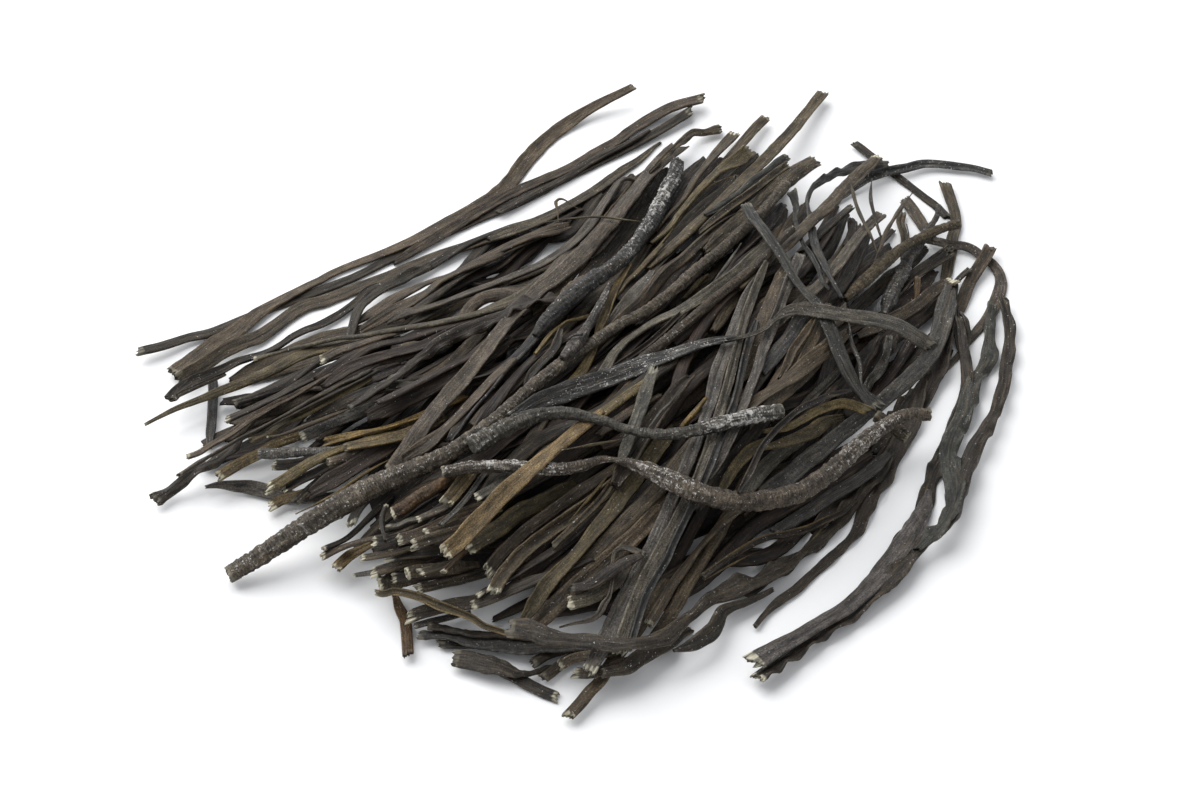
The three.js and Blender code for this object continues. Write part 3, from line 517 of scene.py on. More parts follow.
# Ribbons that stand off at the right.
STANDING_OFF = (
    strand(CRINKLE, DARK, (3.0, 3.4, 3.2, 3.2, 3.4, 4.0, 3.4, 3.2, 3.6, 4.2, 4.4, 4.2, 4.0), (1004, 302),
        (1009, 324), (1010, 344), (1006, 364), (1004, 380), (1000, 396), (994, 414), (985, 430), (975, 446),
        (969, 462), (963, 480), (959, 498), (952, 516), (940, 530), (924, 543), (910, 559), (896, 574),
        (878, 589), (860, 606), (838, 623), (819, 635), (803, 646), (789, 656), (773, 666), (759, 676),
        lift=(2, 3), pale=(0.1, 1.0), arch=4.0),
    strand(CRINKLE, DARK, (2.2, 2.6, 3.4, 3.8, 4.0, 4.2, 4.0, 4.0, 4.2, 4.6, 5.0), (960, 320), (962, 336),
        (965, 352), (967, 368), (968, 384), (966, 400), (960, 416), (952, 432), (942, 456), (933, 476),
        (928, 492), (925, 506), (918, 522), (906, 540), (894, 558)),
    strand(CRINKLE, CHARCOAL, (3.4, 3.6, 3.8, 4.4, 5.0, 5.2, 5.2, 5.0, 4.8, 4.4, 3.6), (992, 306), (990, 326),
        (990, 344), (988, 360), (980, 372), (971, 388), (968, 404), (962, 420), (953, 436), (949, 452),
        (950, 464), (953, 476), (955, 490), (952, 506), (943, 523), (930, 536), (918, 548)),
    strand(FLAT, GREY, (3.0, 4.2, 5.2, 5.6, 5.6, 5.6, 5.4, 5.4, 5.4), (929, 492), (926, 506), (918, 522),
        (906, 541), (888, 566), (867, 588), (847, 606), (832, 616), (817, 625), (802, 634), (787, 642),
        (772, 650), (757, 659), lift=(0, 4), pale=(0.0, 1.0), lean=0.35),
)

# Stems and ribbons that lie over all the others.
ON_TOP = (
    strand(STEM, BARK, (4.4, 5.2, 5.4, 5.0, 4.2, 3.3, 3.1, 3.0, 3.0, 3.0, 3.0, 3.0, 2.8), (229, 575),
        (262, 555), (300, 529), (340, 506), (380, 484), (420, 467), (455, 451), (480, 433), (505, 411),
        (530, 388), (550, 373), (566, 361), (582, 350), (598, 340), (612, 330), (627, 321), (643, 313),
        (658, 302), (675, 289), (687, 278), (700, 267), (717, 254), (732, 240), (746, 227), (762, 213),
        (773, 200), (781, 191), (786, 184), salt=(0.35, 0.45, 0.4, 0.3, 0.25, 0.2), lift=(1.0, 0),
        pale=(0.15, 0.2)),
    strand(STEM, GREY, (0.8, 1.8, 2.0, 2.6, 3.6, 3.4), (610, 282), (605, 295), (600, 304), (595, 314),
        (591, 322), (586, 330), (581, 338), (572, 349), (563, 358), salt=0.6, pale=(0.1, 0.0)),
    tucked(STEM, GREY, (0.6, 1.2, 1.6), (568, 339), (575, 335), (583, 334)),
    strand(FLAT, CHARCOAL, (3.4, 3.4, 2.8, 1.9, 4.0, 5.2, 5.4, 5.2), (747, 206), (755, 219), (765, 232),
        (774, 245), (783, 258), (790, 271), (797, 282), (806, 292), (818, 306), (828, 325), (836, 345),
        (843, 362), (850, 378), (859, 392), (873, 406), salt=0.3, pale=(0.2, 0.2), lean=0.3),
    strand(THREAD, GREY, 1.3, (849, 322), (852, 345), (859, 362), (861, 384), (868, 396), salt=0.4),
    strand(STEM, BROWN, 3.2, (876, 416), (893, 427), (908, 438), salt=0.4, pale=(0.2, 0.5)),
    strand(STEM, BARK, (3.0, 3.5, 3.5, 3.3, 2.8, 1.2, 3.6, 4.8, 4.8, 4.8, 4.8, 4.6, 4.4, 4.3, 3.8, 3.5, 3.0),
        (443, 472), (470, 468), (505, 467), (545, 470), (580, 466), (603, 459), (625, 462), (650, 471),
        (685, 487), (722, 499), (760, 500), (800, 491), (830, 472), (857, 447), (878, 431), (905, 416),
        (930, 414), salt=(0.8, 0.8, 0.6, 0.65, 0.5, 0.5, 0.8, 0.8, 0.1), lift=(1, 3), pale=(0.4, 0.4)),
    strand(FLAT, STRAW, (4.5, 4.5, 4.3, 4.0), (447, 551), (459, 541), (470, 528), (484, 514), (501, 497),
        (516, 483), (540, 462), (570, 436), (600, 411), lift=(2, 0), pale=(1.0, 0.0)),
    strand(THREAD, OLIVE, 0.9, (562, 450), (600, 443), (620, 439), (632, 432), pale=(1.0, 0.0)),
    tucked(THREAD, GREY, 0.9, (683, 385), (672, 400), (660, 412), (650, 425), (643, 436)),
    tucked(FLAT, OCHRE, 1.4, (706, 399), (695, 412), (682, 427)),
    strand(FLAT, TAUPE, 3.2, (571, 603), (590, 598), (608, 588), (618, 578), (630, 562), pale=(0.6, 0.0)),
    strand(FLAT, TAUPE, (2.0, 1.6, 0.9, 0.8, 0.8, 0.9, 1.8, 1.2, 0.8, 0.7), (643, 555), (632, 550),
        (622, 548), (614, 553), (612, 562), (611, 570), (612, 578), (611, 588), (609, 597), (604, 604),
        (601, 611), (596, 617), (586, 621), (575, 623), (560, 627)),
    strand(CRINKLE, DARK, 2.7, (574, 588), (590, 585), (605, 575), (620, 565), (640, 555)),
    strand(FLAT, CHARCOAL, (3.5, 4.6, 5.0, 5.0, 4.8, 4.4, 3.6, 2.4, 1.3), (515, 418), (535, 405), (553, 397),
        (572, 390), (591, 384), (610, 377), (630, 370), (649, 363), (668, 357), (687, 350), (704, 344),
        (720, 340), (742, 337), salt=(0.3, 0.5, 0.55, 0.5), pale=(0.1, 0.0)),
    strand(FLAT, GREY, (1.1, 1.0, 1.2, 3.4, 4.4, 4.6, 4.8, 4.8, 4.2), (728, 340), (750, 335), (765, 328),
        (775, 319), (788, 311), (805, 310), (820, 312), (848, 316), (876, 320), (899, 327), (916, 337),
        (927, 343), pale=(0.0, 0.2), lean=0.6),
    strand(STEM, GREY, (4.5, 4.3, 3.8, 3.3, 2.4, 2.2, 2.6, 3.0, 3.5, 3.8, 3.6), (472, 446), (500, 431),
        (525, 419), (560, 413), (600, 420), (625, 429), (655, 434), (685, 432), (715, 425), (750, 417),
        (782, 412), salt=(0.7, 0.5, 0.3, 0.2, 0.2, 0.3, 0.9, 1.7, 0.8), pale=(0.1, 0.4)),
    strand(FLAT, TAN, (2.6, 2.4, 2.0, 1.8), (864, 410), (845, 404), (828, 407), (813, 413), (800, 421),
        (785, 428), (764, 432)),
    tucked(FOLD, DARK, 1.6, (850, 391), (830, 396), (812, 403), (797, 411), (783, 423), (770, 436),
        (760, 449), (753, 464), (747, 478), (739, 493)),
)

# The order in which the shown strands are laid, the lowest first.
COURSES = (
    *UPPER_LEFT, *UPPER_RIGHT, *BOTTOM, *FRONT_ENDS, *LEFT_ENDS, *UPPER_MIDDLE, *FRONT, *RIGHT_MIDDLE,
    *STANDING_OFF, *ON_TOP,
)


@dataclass(frozen=True)
class Sheaf:
    """Strands that lie nearly side by side under the ones that show.

    Attributes:
        count: Number of strands.
        near: Pixels of the two ends of the line on which they begin.
        far: Pixels of the two ends of the line on which they end.
    """

    count: int
    near: tuple[Pixel, Pixel]
    far: tuple[Pixel, Pixel]


SHEAVES = (
    Sheaf(10, ((205, 385), (195, 480)), ((605, 245), (500, 335))),
    Sheaf(4, ((450, 625), (680, 622)), ((800, 545), (885, 440))),
    Sheaf(8, ((370, 350), (365, 410)), ((590, 235), (615, 285))),
    Sheaf(9, ((285, 440), (320, 490)), ((565, 275), (600, 330))),
    Sheaf(12, ((345, 545), (405, 575)), ((640, 340), (700, 400))),
    Sheaf(11, ((410, 515), (480, 500)), ((650, 290), (720, 330))),
    Sheaf(16, ((400, 465), (540, 400)), ((665, 180), (790, 180))),
    Sheaf(11, ((485, 590), (555, 605)), ((690, 420), (760, 380))),
    Sheaf(4, ((690, 560), (740, 515)), ((880, 445), (930, 340))),
    Sheaf(14, ((690, 465), (760, 420)), ((865, 190), (935, 290))),
    Sheaf(11, ((540, 470), (660, 430)), ((780, 210), (840, 270))),
    Sheaf(6, ((615, 600), (665, 590)), ((765, 280), (795, 330))),
    Sheaf(10, ((670, 345), (745, 345)), ((790, 185), (880, 210))),
    Sheaf(6, ((390, 330), (420, 300)), ((560, 225), (640, 170))),
)


def placed(x_axis: np.ndarray, y_axis: np.ndarray, z_axis: np.ndarray, spot: np.ndarray) -> Matrix:
    """Matrix of an object with these axes at this spot."""
    return Matrix([*np.column_stack([x_axis, y_axis, z_axis, spot]).tolist(), [0.0, 0.0, 0.0, 1.0]])


def add_object(name: str, data: bpy.types.ID) -> bpy.types.Object:
    """Adds an object to the scene.

    Args:
        name: Its name.
        data: Its mesh, lamp or camera.

    Returns:
        The object.
    """
    made = bpy.data.objects.new(name, data)
    bpy.context.scene.collection.objects.link(made)
    return made


@dataclass(frozen=True)
class PhotoView:
    """The photograph's viewpoint.

    Attributes:
        aim: Point on the floor that shows at the middle of the picture, in mm.
        azimuth: Turn of the view from +Y, in degrees.
        elevation: Angle above the floor, in degrees.
        distance: From the viewpoint to the aim, in mm.
        lens: Focal length in mm on a picture as wide as the sensor.
    """

    aim: tuple[float, float, float] = (-14.4, 2.7, 0.0)
    azimuth: float = -41.0
    elevation: float = 45.0
    distance: float = 833.0
    lens: float = 100.0
    sensor: float = 36.0
    picture: Pixel = (1200, 800)

    def axes(self) -> tuple[np.ndarray, np.ndarray, np.ndarray]:
        """Directions of the view.

        Returns:
            Unit vectors to the right, up and forward.
        """
        turn = math.radians(self.azimuth)
        tilt = math.radians(self.elevation)
        right = np.array([math.cos(turn), math.sin(turn), 0.0])
        level = np.array([-math.sin(turn), math.cos(turn), 0.0])
        forward = level * math.cos(tilt) - UP * math.sin(tilt)
        return right, np.cross(right, forward), forward

    def viewpoint(self) -> np.ndarray:
        """Place of the camera, in mm."""
        return np.array(self.aim) - self.axes()[2] * self.distance

    def focal(self) -> float:
        """Focal length in pixels."""
        return self.lens / self.sensor * self.picture[0]

    def pixels_per_mm(self) -> float:
        """Scale of the picture at the aim."""
        return self.focal() / self.distance

    def place(self, seen: np.ndarray, height: np.ndarray) -> np.ndarray:
        """Finds the points at given heights that show at given pixels.

        Args:
            seen: Pixels, with x and y in the last axis.
            height: Heights above the floor in mm, of a shape that goes with the pixels.

        Returns:
            Points in mm.
        """
        right, up, forward = self.axes()
        aside = (seen[..., 0:1] - self.picture[0] / 2) / self.focal()
        above = (self.picture[1] / 2 - seen[..., 1:2]) / self.focal()
        ray = forward + right * aside + up * above
        start = self.viewpoint()
        return start + ray * ((height[..., None] - start[2]) / ray[..., 2:3])

    def make_camera(self) -> None:
        """Adds the camera and makes it the scene's own."""
        data = bpy.data.cameras.new("photo_camera")
        data.lens = self.lens
        data.sensor_width = self.sensor
        camera = add_object("photo_camera", data)
        right, up, forward = self.axes()
        camera.matrix_world = placed(right, up, -forward, self.viewpoint() * MM)
        bpy.context.scene.camera = camera


def unit(vectors: np.ndarray) -> np.ndarray:
    """Vectors of length 1 in the same directions."""
    return vectors / np.linalg.norm(vectors, axis=-1, keepdims=True)


def run_lengths(line: np.ndarray) -> np.ndarray:
    """Distances along a line, from its first point to each of its points."""
    return np.concatenate([[0.0], np.cumsum(np.linalg.norm(np.diff(line, axis=0), axis=1))])


def from_ends(along: np.ndarray) -> tuple[np.ndarray, np.ndarray]:
    """Distances from a strand's first end and from its last."""
    return along, along[-1] - along


def spread(given: tuple[float, ...] | np.ndarray, along: np.ndarray) -> np.ndarray:
    """Values along a strand, between given ones that are spread evenly over it."""
    return np.interp(along / along[-1], np.linspace(0.0, 1.0, len(given)), given)


def resample(wanted: np.ndarray, known: np.ndarray, rows: np.ndarray) -> np.ndarray:
    """Rows at the wanted distances, between the rows at the known ones."""
    return np.column_stack([np.interp(wanted, known, column) for column in rows.T])


def bell(values: np.ndarray, middle: float | np.ndarray, width: float) -> np.ndarray:
    """A soft hump, 1 at its middle, that fades out over its width."""
    return np.exp(-((values - middle) / width) ** 2)


def wander(rng: np.random.Generator, along: np.ndarray, step: float, columns: int = 0) -> np.ndarray:
    """Smooth random values between -1 and 1 along a strand.

    Args:
        rng: Source of the random values.
        along: Distances along the strand, in mm.
        step: Distance over which the values change, in mm.
        columns: Number of independent series, or 0 for one plain series.

    Returns:
        One value for each distance, or a row of them.
    """
    knots = int(along[-1] / step) + 4
    values = rng.uniform(-1.0, 1.0, (knots, max(columns, 1)))
    place = along / step + rng.uniform()
    first = place.astype(int)
    share = (place - first)[:, None]
    share = share * share * (3.0 - 2.0 * share)
    mixed = values[first] * (1.0 - share) + values[first + 1] * share
    return mixed if columns else mixed[:, 0]


def smooth(values: np.ndarray, reach: float) -> np.ndarray:
    """Evens out a series.

    Args:
        values: The series.
        reach: Spread of the averaging, in samples.

    Returns:
        The evened series, as long as the first.
    """
    half = max(int(reach * 3), 1)
    weights = np.exp(-0.5 * (np.arange(-half, half + 1) / max(reach, 1e-6)) ** 2)
    return np.convolve(np.pad(values, half, mode="edge"), weights / weights.sum(), mode="valid")


def upper_hull(along: np.ndarray, height: np.ndarray) -> np.ndarray:
    """Heights of a taut line over supports.

    Args:
        along: Distances of the supports.
        height: Heights of the supports.

    Returns:
        The line's height at each distance.
    """
    kept: list[int] = []
    for i in range(len(along)):
        while len(kept) > 1:
            a, b = kept[-2], kept[-1]
            rise = (height[b] - height[a]) * (along[i] - along[a])
            if rise > (height[i] - height[a]) * (along[b] - along[a]):
                break
            kept.pop()
        kept.append(i)
    return np.interp(along, along[kept], height[kept])


def course(points: np.ndarray, spacing: float) -> np.ndarray:
    """A smooth line through points.

    Args:
        points: Pixels in order.
        spacing: Distance between the line's own points, in pixels.

    Returns:
        Pixels along the line.
    """
    padded = np.vstack([2 * points[0] - points[1], points, 2 * points[-1] - points[-2]])
    share = np.linspace(0.0, 1.0, 12, endpoint=False)[:, None]
    curves = []
    for a, b, c, d in zip(padded[:-3], padded[1:-2], padded[2:-1], padded[3:]):
        # The cubic from b to c whose headings there follow the neighbours a and d.
        curves.append(0.5 * (2 * b + (c - a) * share + (2 * a - 5 * b + 4 * c - d) * share ** 2
                             + (3 * b - a - 3 * c + d) * share ** 3))
    line = np.vstack([*curves, points[-1:]])
    done = run_lengths(line)
    wanted = np.linspace(0.0, done[-1], max(int(done[-1] / spacing), 6) + 1)
    return resample(wanted, done, line)


@dataclass
class Lay:
    """One strand as it lies.

    Attributes:
        track: Its course in the photograph.
        along: Distances along it, in mm.
        centre: Middle line, in mm.
        across: Unit vectors to its left.
        outward: Unit vectors out of its upper face.
        half: Half of its width, in mm.
    """

    track: Track
    along: np.ndarray
    centre: np.ndarray
    across: np.ndarray
    outward: np.ndarray
    half: np.ndarray


# How far a strand turns about its own length, in radians, and the length in mm over which that changes.
TWIST = {CRINKLE: (0.45, 24.0), THREAD: (0.0, 38.0)}
RIBBON_TWIST = (0.22, 38.0)


@dataclass
class HeapSurface:
    """Upper surface of what lies there so far, and the laying of the next strand on it.

    Lengths are in mm.

    Attributes:
        reach: Half length and half width of the floor that is followed.
        cell: Side of a cell of the height map.
        top: Highest place that is looked at.
        drop: Step in which a line of sight is followed down.
        spacing: Distance between the pixels at which a strand is tried, in pixels.
        probes: Places across a strand at which it is tried, as shares of its width.
        slant: Share of a strand's width that shows at the view's slant.
        stiff: Radius of the sag of a dry ribbon between two supports.
        drape: Radius in which a dry ribbon bends down over an edge.
        ease: Length over which a strand's small kinks are evened out.
        roll_ease: The same for the slope across it.
        heading_ease: The same for its heading.
        give: Share of the slope under it that a strand takes on.
        bite: Share by which a strand beds in between the strands under it.
        most_roll: Greatest slope across a strand.
        taper: Length over which a hidden end gets narrow.
        narrowest: Share of the width that is left at a hidden end.
        waver: Small unevenness of a strand's course, in pixels.
        waver_length: Distance over which that changes, in pixels.
        rise: Length of the part of a strand that stands off at its end.
        curl: Power by which that part bends up.
        tip: Distances of the rings at an end.
        roundness: How round a strand's upper face is taken to be, from 0 to 1.
    """

    view: PhotoView
    reach: Span = (150.0, 130.0)
    cell: float = 0.8
    top: float = 46.0
    drop: float = 0.3
    spacing: float = 4.0
    probes: tuple[float, ...] = (-0.4, -0.2, 0.0, 0.2, 0.4)
    slant: float = 0.8
    stiff: float = 330.0
    drape: float = 20.0
    ease: float = 3.0
    roll_ease: float = 7.0
    heading_ease: float = 2.0
    give: float = 0.8
    bite: float = 0.4
    most_roll: float = 0.7
    taper: float = 5.0
    narrowest: float = 0.55
    waver: float = 0.7
    waver_length: float = 45.0
    rise: float = 32.0
    curl: float = 1.6
    tip: tuple[float, ...] = (0.0, 0.3, 0.6, 1.0, 1.5)
    roundness: float = 0.7
    heights: np.ndarray = field(init=False)

    def __post_init__(self) -> None:
        """Starts with the bare floor."""
        self.heights = np.zeros([int(2 * side / self.cell) + 1 for side in self.reach])

    def cells(self, points: np.ndarray) -> tuple[np.ndarray, np.ndarray]:
        """Finds the cells under points.

        Args:
            points: Points in mm.

        Returns:
            Rows and columns of the cells.
        """
        row = ((points[..., 0] + self.reach[0]) / self.cell).astype(int)
        column = ((points[..., 1] + self.reach[1]) / self.cell).astype(int)
        return np.clip(row, 0, self.heights.shape[0] - 1), np.clip(column, 0, self.heights.shape[1] - 1)

    def raise_to(self, points: np.ndarray) -> None:
        """Raises the surface to points that lie above it."""
        np.maximum.at(self.heights, self.cells(points), points[..., 2])

    def contact(self, seen: np.ndarray) -> np.ndarray:
        """Heights at which lines of sight first meet the heap.

        Args:
            seen: Pixels, with x and y in the last axis.

        Returns:
            Heights in mm.
        """
        levels = np.arange(self.top, 0.0, -self.drop)
        grid = np.broadcast_to(levels, (*seen.shape[:-1], len(levels)))
        points = self.view.place(seen[..., None, :], grid)
        inside = self.heights[self.cells(points)] >= grid
        return np.where(inside.any(axis=-1), levels[inside.argmax(axis=-1)], 0.0)

    def settle(self, along: np.ndarray, support: np.ndarray) -> np.ndarray:
        """Heights of a stiff strand on its supports.

        Args:
            along: Distances along the strand, in mm.
            support: Heights of what is under it, in mm.

        Returns:
            Heights of its lower face, in mm.
        """
        pace = along[-1] / (len(along) - 1)
        apart = along[:, None] - along[None, :]
        draped = (support[None, :] - 0.5 * apart ** 2 / self.drape).max(axis=1)
        bow = 0.5 * (along - along[-1] / 2) ** 2 / self.stiff
        raised = upper_hull(along, draped - bow) + bow
        eased = smooth(raised, self.ease / pace)
        return eased + smooth(np.maximum(support - eased, 0.0), self.ease / pace)

    def rest(
        self, track: Track, seen: np.ndarray, along: np.ndarray, width: np.ndarray
    ) -> tuple[np.ndarray, np.ndarray]:
        """Brings a strand to rest on what is under it.

        Args:
            track: The strand's course.
            seen: Pixels along it.
            along: Distances along it, in mm.
            width: Widths along it, in mm.

        Returns:
            Slopes across it, and heights of its lower face in mm.
        """
        heading = unit(np.gradient(seen, axis=0))
        left = np.column_stack([heading[:, 1], -heading[:, 0]])
        probes = np.array(self.probes)
        scale = self.view.pixels_per_mm() * self.slant
        tried = seen[:, None, :] + left[:, None, :] * (probes[None, :, None] * width[:, None, None] * scale)
        met = self.contact(tried)
        aside = probes[None, :] * width[:, None]
        pace = along[-1] / (len(along) - 1)
        slope = smooth((aside * met).sum(axis=1) / (aside * aside).sum(axis=1), self.roll_ease / pace)
        slope = np.clip(slope * self.give, -self.most_roll, self.most_roll)
        under = met - slope[:, None] * aside
        height = self.settle(along, self.bite * under.mean(axis=1) + (1.0 - self.bite) * under.max(axis=1))
        for stand, distance in zip(track.lift, from_ends(along)):
            height = height + stand * np.clip(1.0 - distance / self.rise, 0.0, 1.0) ** self.curl
        return slope, height + track.arch * np.sin(math.pi * along / along[-1])

    def lay(self, track: Track, thickness: float, ring_step: float, rng: np.random.Generator) -> Lay:
        """Lays a strand on the heap.

        Args:
            track: The strand's course.
            thickness: Its thickness in mm, or for a round strand the share of its width.
            ring_step: Distance between the rings of its mesh, in mm.
            rng: Source of the random values.

        Returns:
            The strand as it lies.
        """
        seen = course(np.array(track.seen, dtype=float), self.spacing)
        steps = np.arange(len(seen)) * self.spacing
        sway = np.column_stack([wander(rng, steps, self.waver_length) for _ in range(2)])
        seen = seen + sway * self.waver
        along = run_lengths(self.view.place(seen, np.zeros(len(seen))))
        width = spread(track.width, along)
        for pale, distance in zip(track.pale, from_ends(along)):
            if pale == 0.0:
                left = self.narrowest + (1.0 - self.narrowest) * distance / self.taper
                width = width * np.clip(left, 0.0, 1.0)
        slope, height = self.rest(track, seen, along, width)
        deep = thickness * width if track.kind in (STEM, THREAD) else np.full(len(width), thickness)
        line = self.view.place(seen, height + deep * 0.5)

        done = run_lengths(line)
        tip = np.array(self.tip)
        inner = np.linspace(tip[-1], done[-1] - tip[-1], max(int(done[-1] / ring_step), 4) + 1)
        rings = np.concatenate([tip[:-1], inner, done[-1] - tip[-2::-1]])
        centre = resample(rings, done, line)
        ahead = np.gradient(centre, rings, axis=0)
        ahead = unit(np.column_stack([smooth(part, self.heading_ease / ring_step) for part in ahead.T]))
        level = unit(np.cross(UP, ahead))
        upright = np.cross(ahead, level)
        towards_viewer = np.diff(self.view.place(seen[[0, 0]], np.array([0.0, 1.0])), axis=0)[0]
        twist, length = TWIST.get(track.kind, RIBBON_TWIST)
        roll = np.arctan(np.interp(rings, done, slope)) + twist * wander(rng, rings, length)
        roll = roll - track.lean * (level @ towards_viewer)
        across = level * np.cos(roll)[:, None] + upright * np.sin(roll)[:, None]
        outward = upright * np.cos(roll)[:, None] - level * np.sin(roll)[:, None]
        lay = Lay(track, rings, centre, across, outward, np.interp(rings, done, width) / 2)
        self.cover(lay, np.interp(rings, done, deep) / 2)
        return lay

    def cover(self, lay: Lay, half_deep: np.ndarray) -> None:
        """Raises the surface to a strand's upper face.

        Args:
            lay: The strand as it lies.
            half_deep: Half of its thickness along it, in mm.
        """
        # The places lie closer than the cells, so that no cell under the strand is left out.
        fine = np.linspace(0.0, lay.along[-1], int(lay.along[-1] / (self.cell * 0.6)) + 2)
        centre, across, outward = (
            resample(fine, lay.along, part) for part in (lay.centre, lay.across, lay.outward)
        )
        half = np.interp(fine, lay.along, lay.half)
        deep = np.interp(fine, lay.along, half_deep)
        for share in np.linspace(-0.95, 0.95, 9):
            crown = deep * math.sqrt(1.0 - self.roundness * share * share)
            self.raise_to(centre + across * (half * share)[:, None] + outward * crown[:, None])


def linear(colour: str) -> tuple[float, float, float, float]:
    """Turns an sRGB hex colour to linear light, by the rule that defines sRGB.

    Args:
        colour: The colour, as "#rrggbb".

    Returns:
        Red, green, blue and a full alpha.
    """
    parts = [int(colour[i:i + 2], 16) / 255 for i in (1, 3, 5)]
    light = [part / 12.92 if part <= 0.04045 else ((part + 0.055) / 1.055) ** 2.4 for part in parts]
    return *light, 1.0


def add_node(
    tree: bpy.types.NodeTree, kind: str, sockets: dict[str | int, object], **settings: object
) -> bpy.types.Node:
    """Adds a node with its settings and links.

    Args:
        tree: Node tree that it goes into.
        kind: Blender's name of the node's type.
        sockets: What each input takes, by name or number: a value, or another node's output.
        **settings: Properties of the node itself.

    Returns:
        The node.
    """
    made = tree.nodes.new(kind)
    for name, value in settings.items():
        setattr(made, name, value)
    for name, value in sockets.items():
        if isinstance(value, bpy.types.NodeSocket):
            tree.links.new(value, made.inputs[name])
        else:
            made.inputs[name].default_value = value
    return made


# Numbers of the colour mixing node's inputs, and of its output.
MIX_SHARE, MIX_UNDER, MIX_OVER, MIX_RESULT = 0, 6, 7, 2


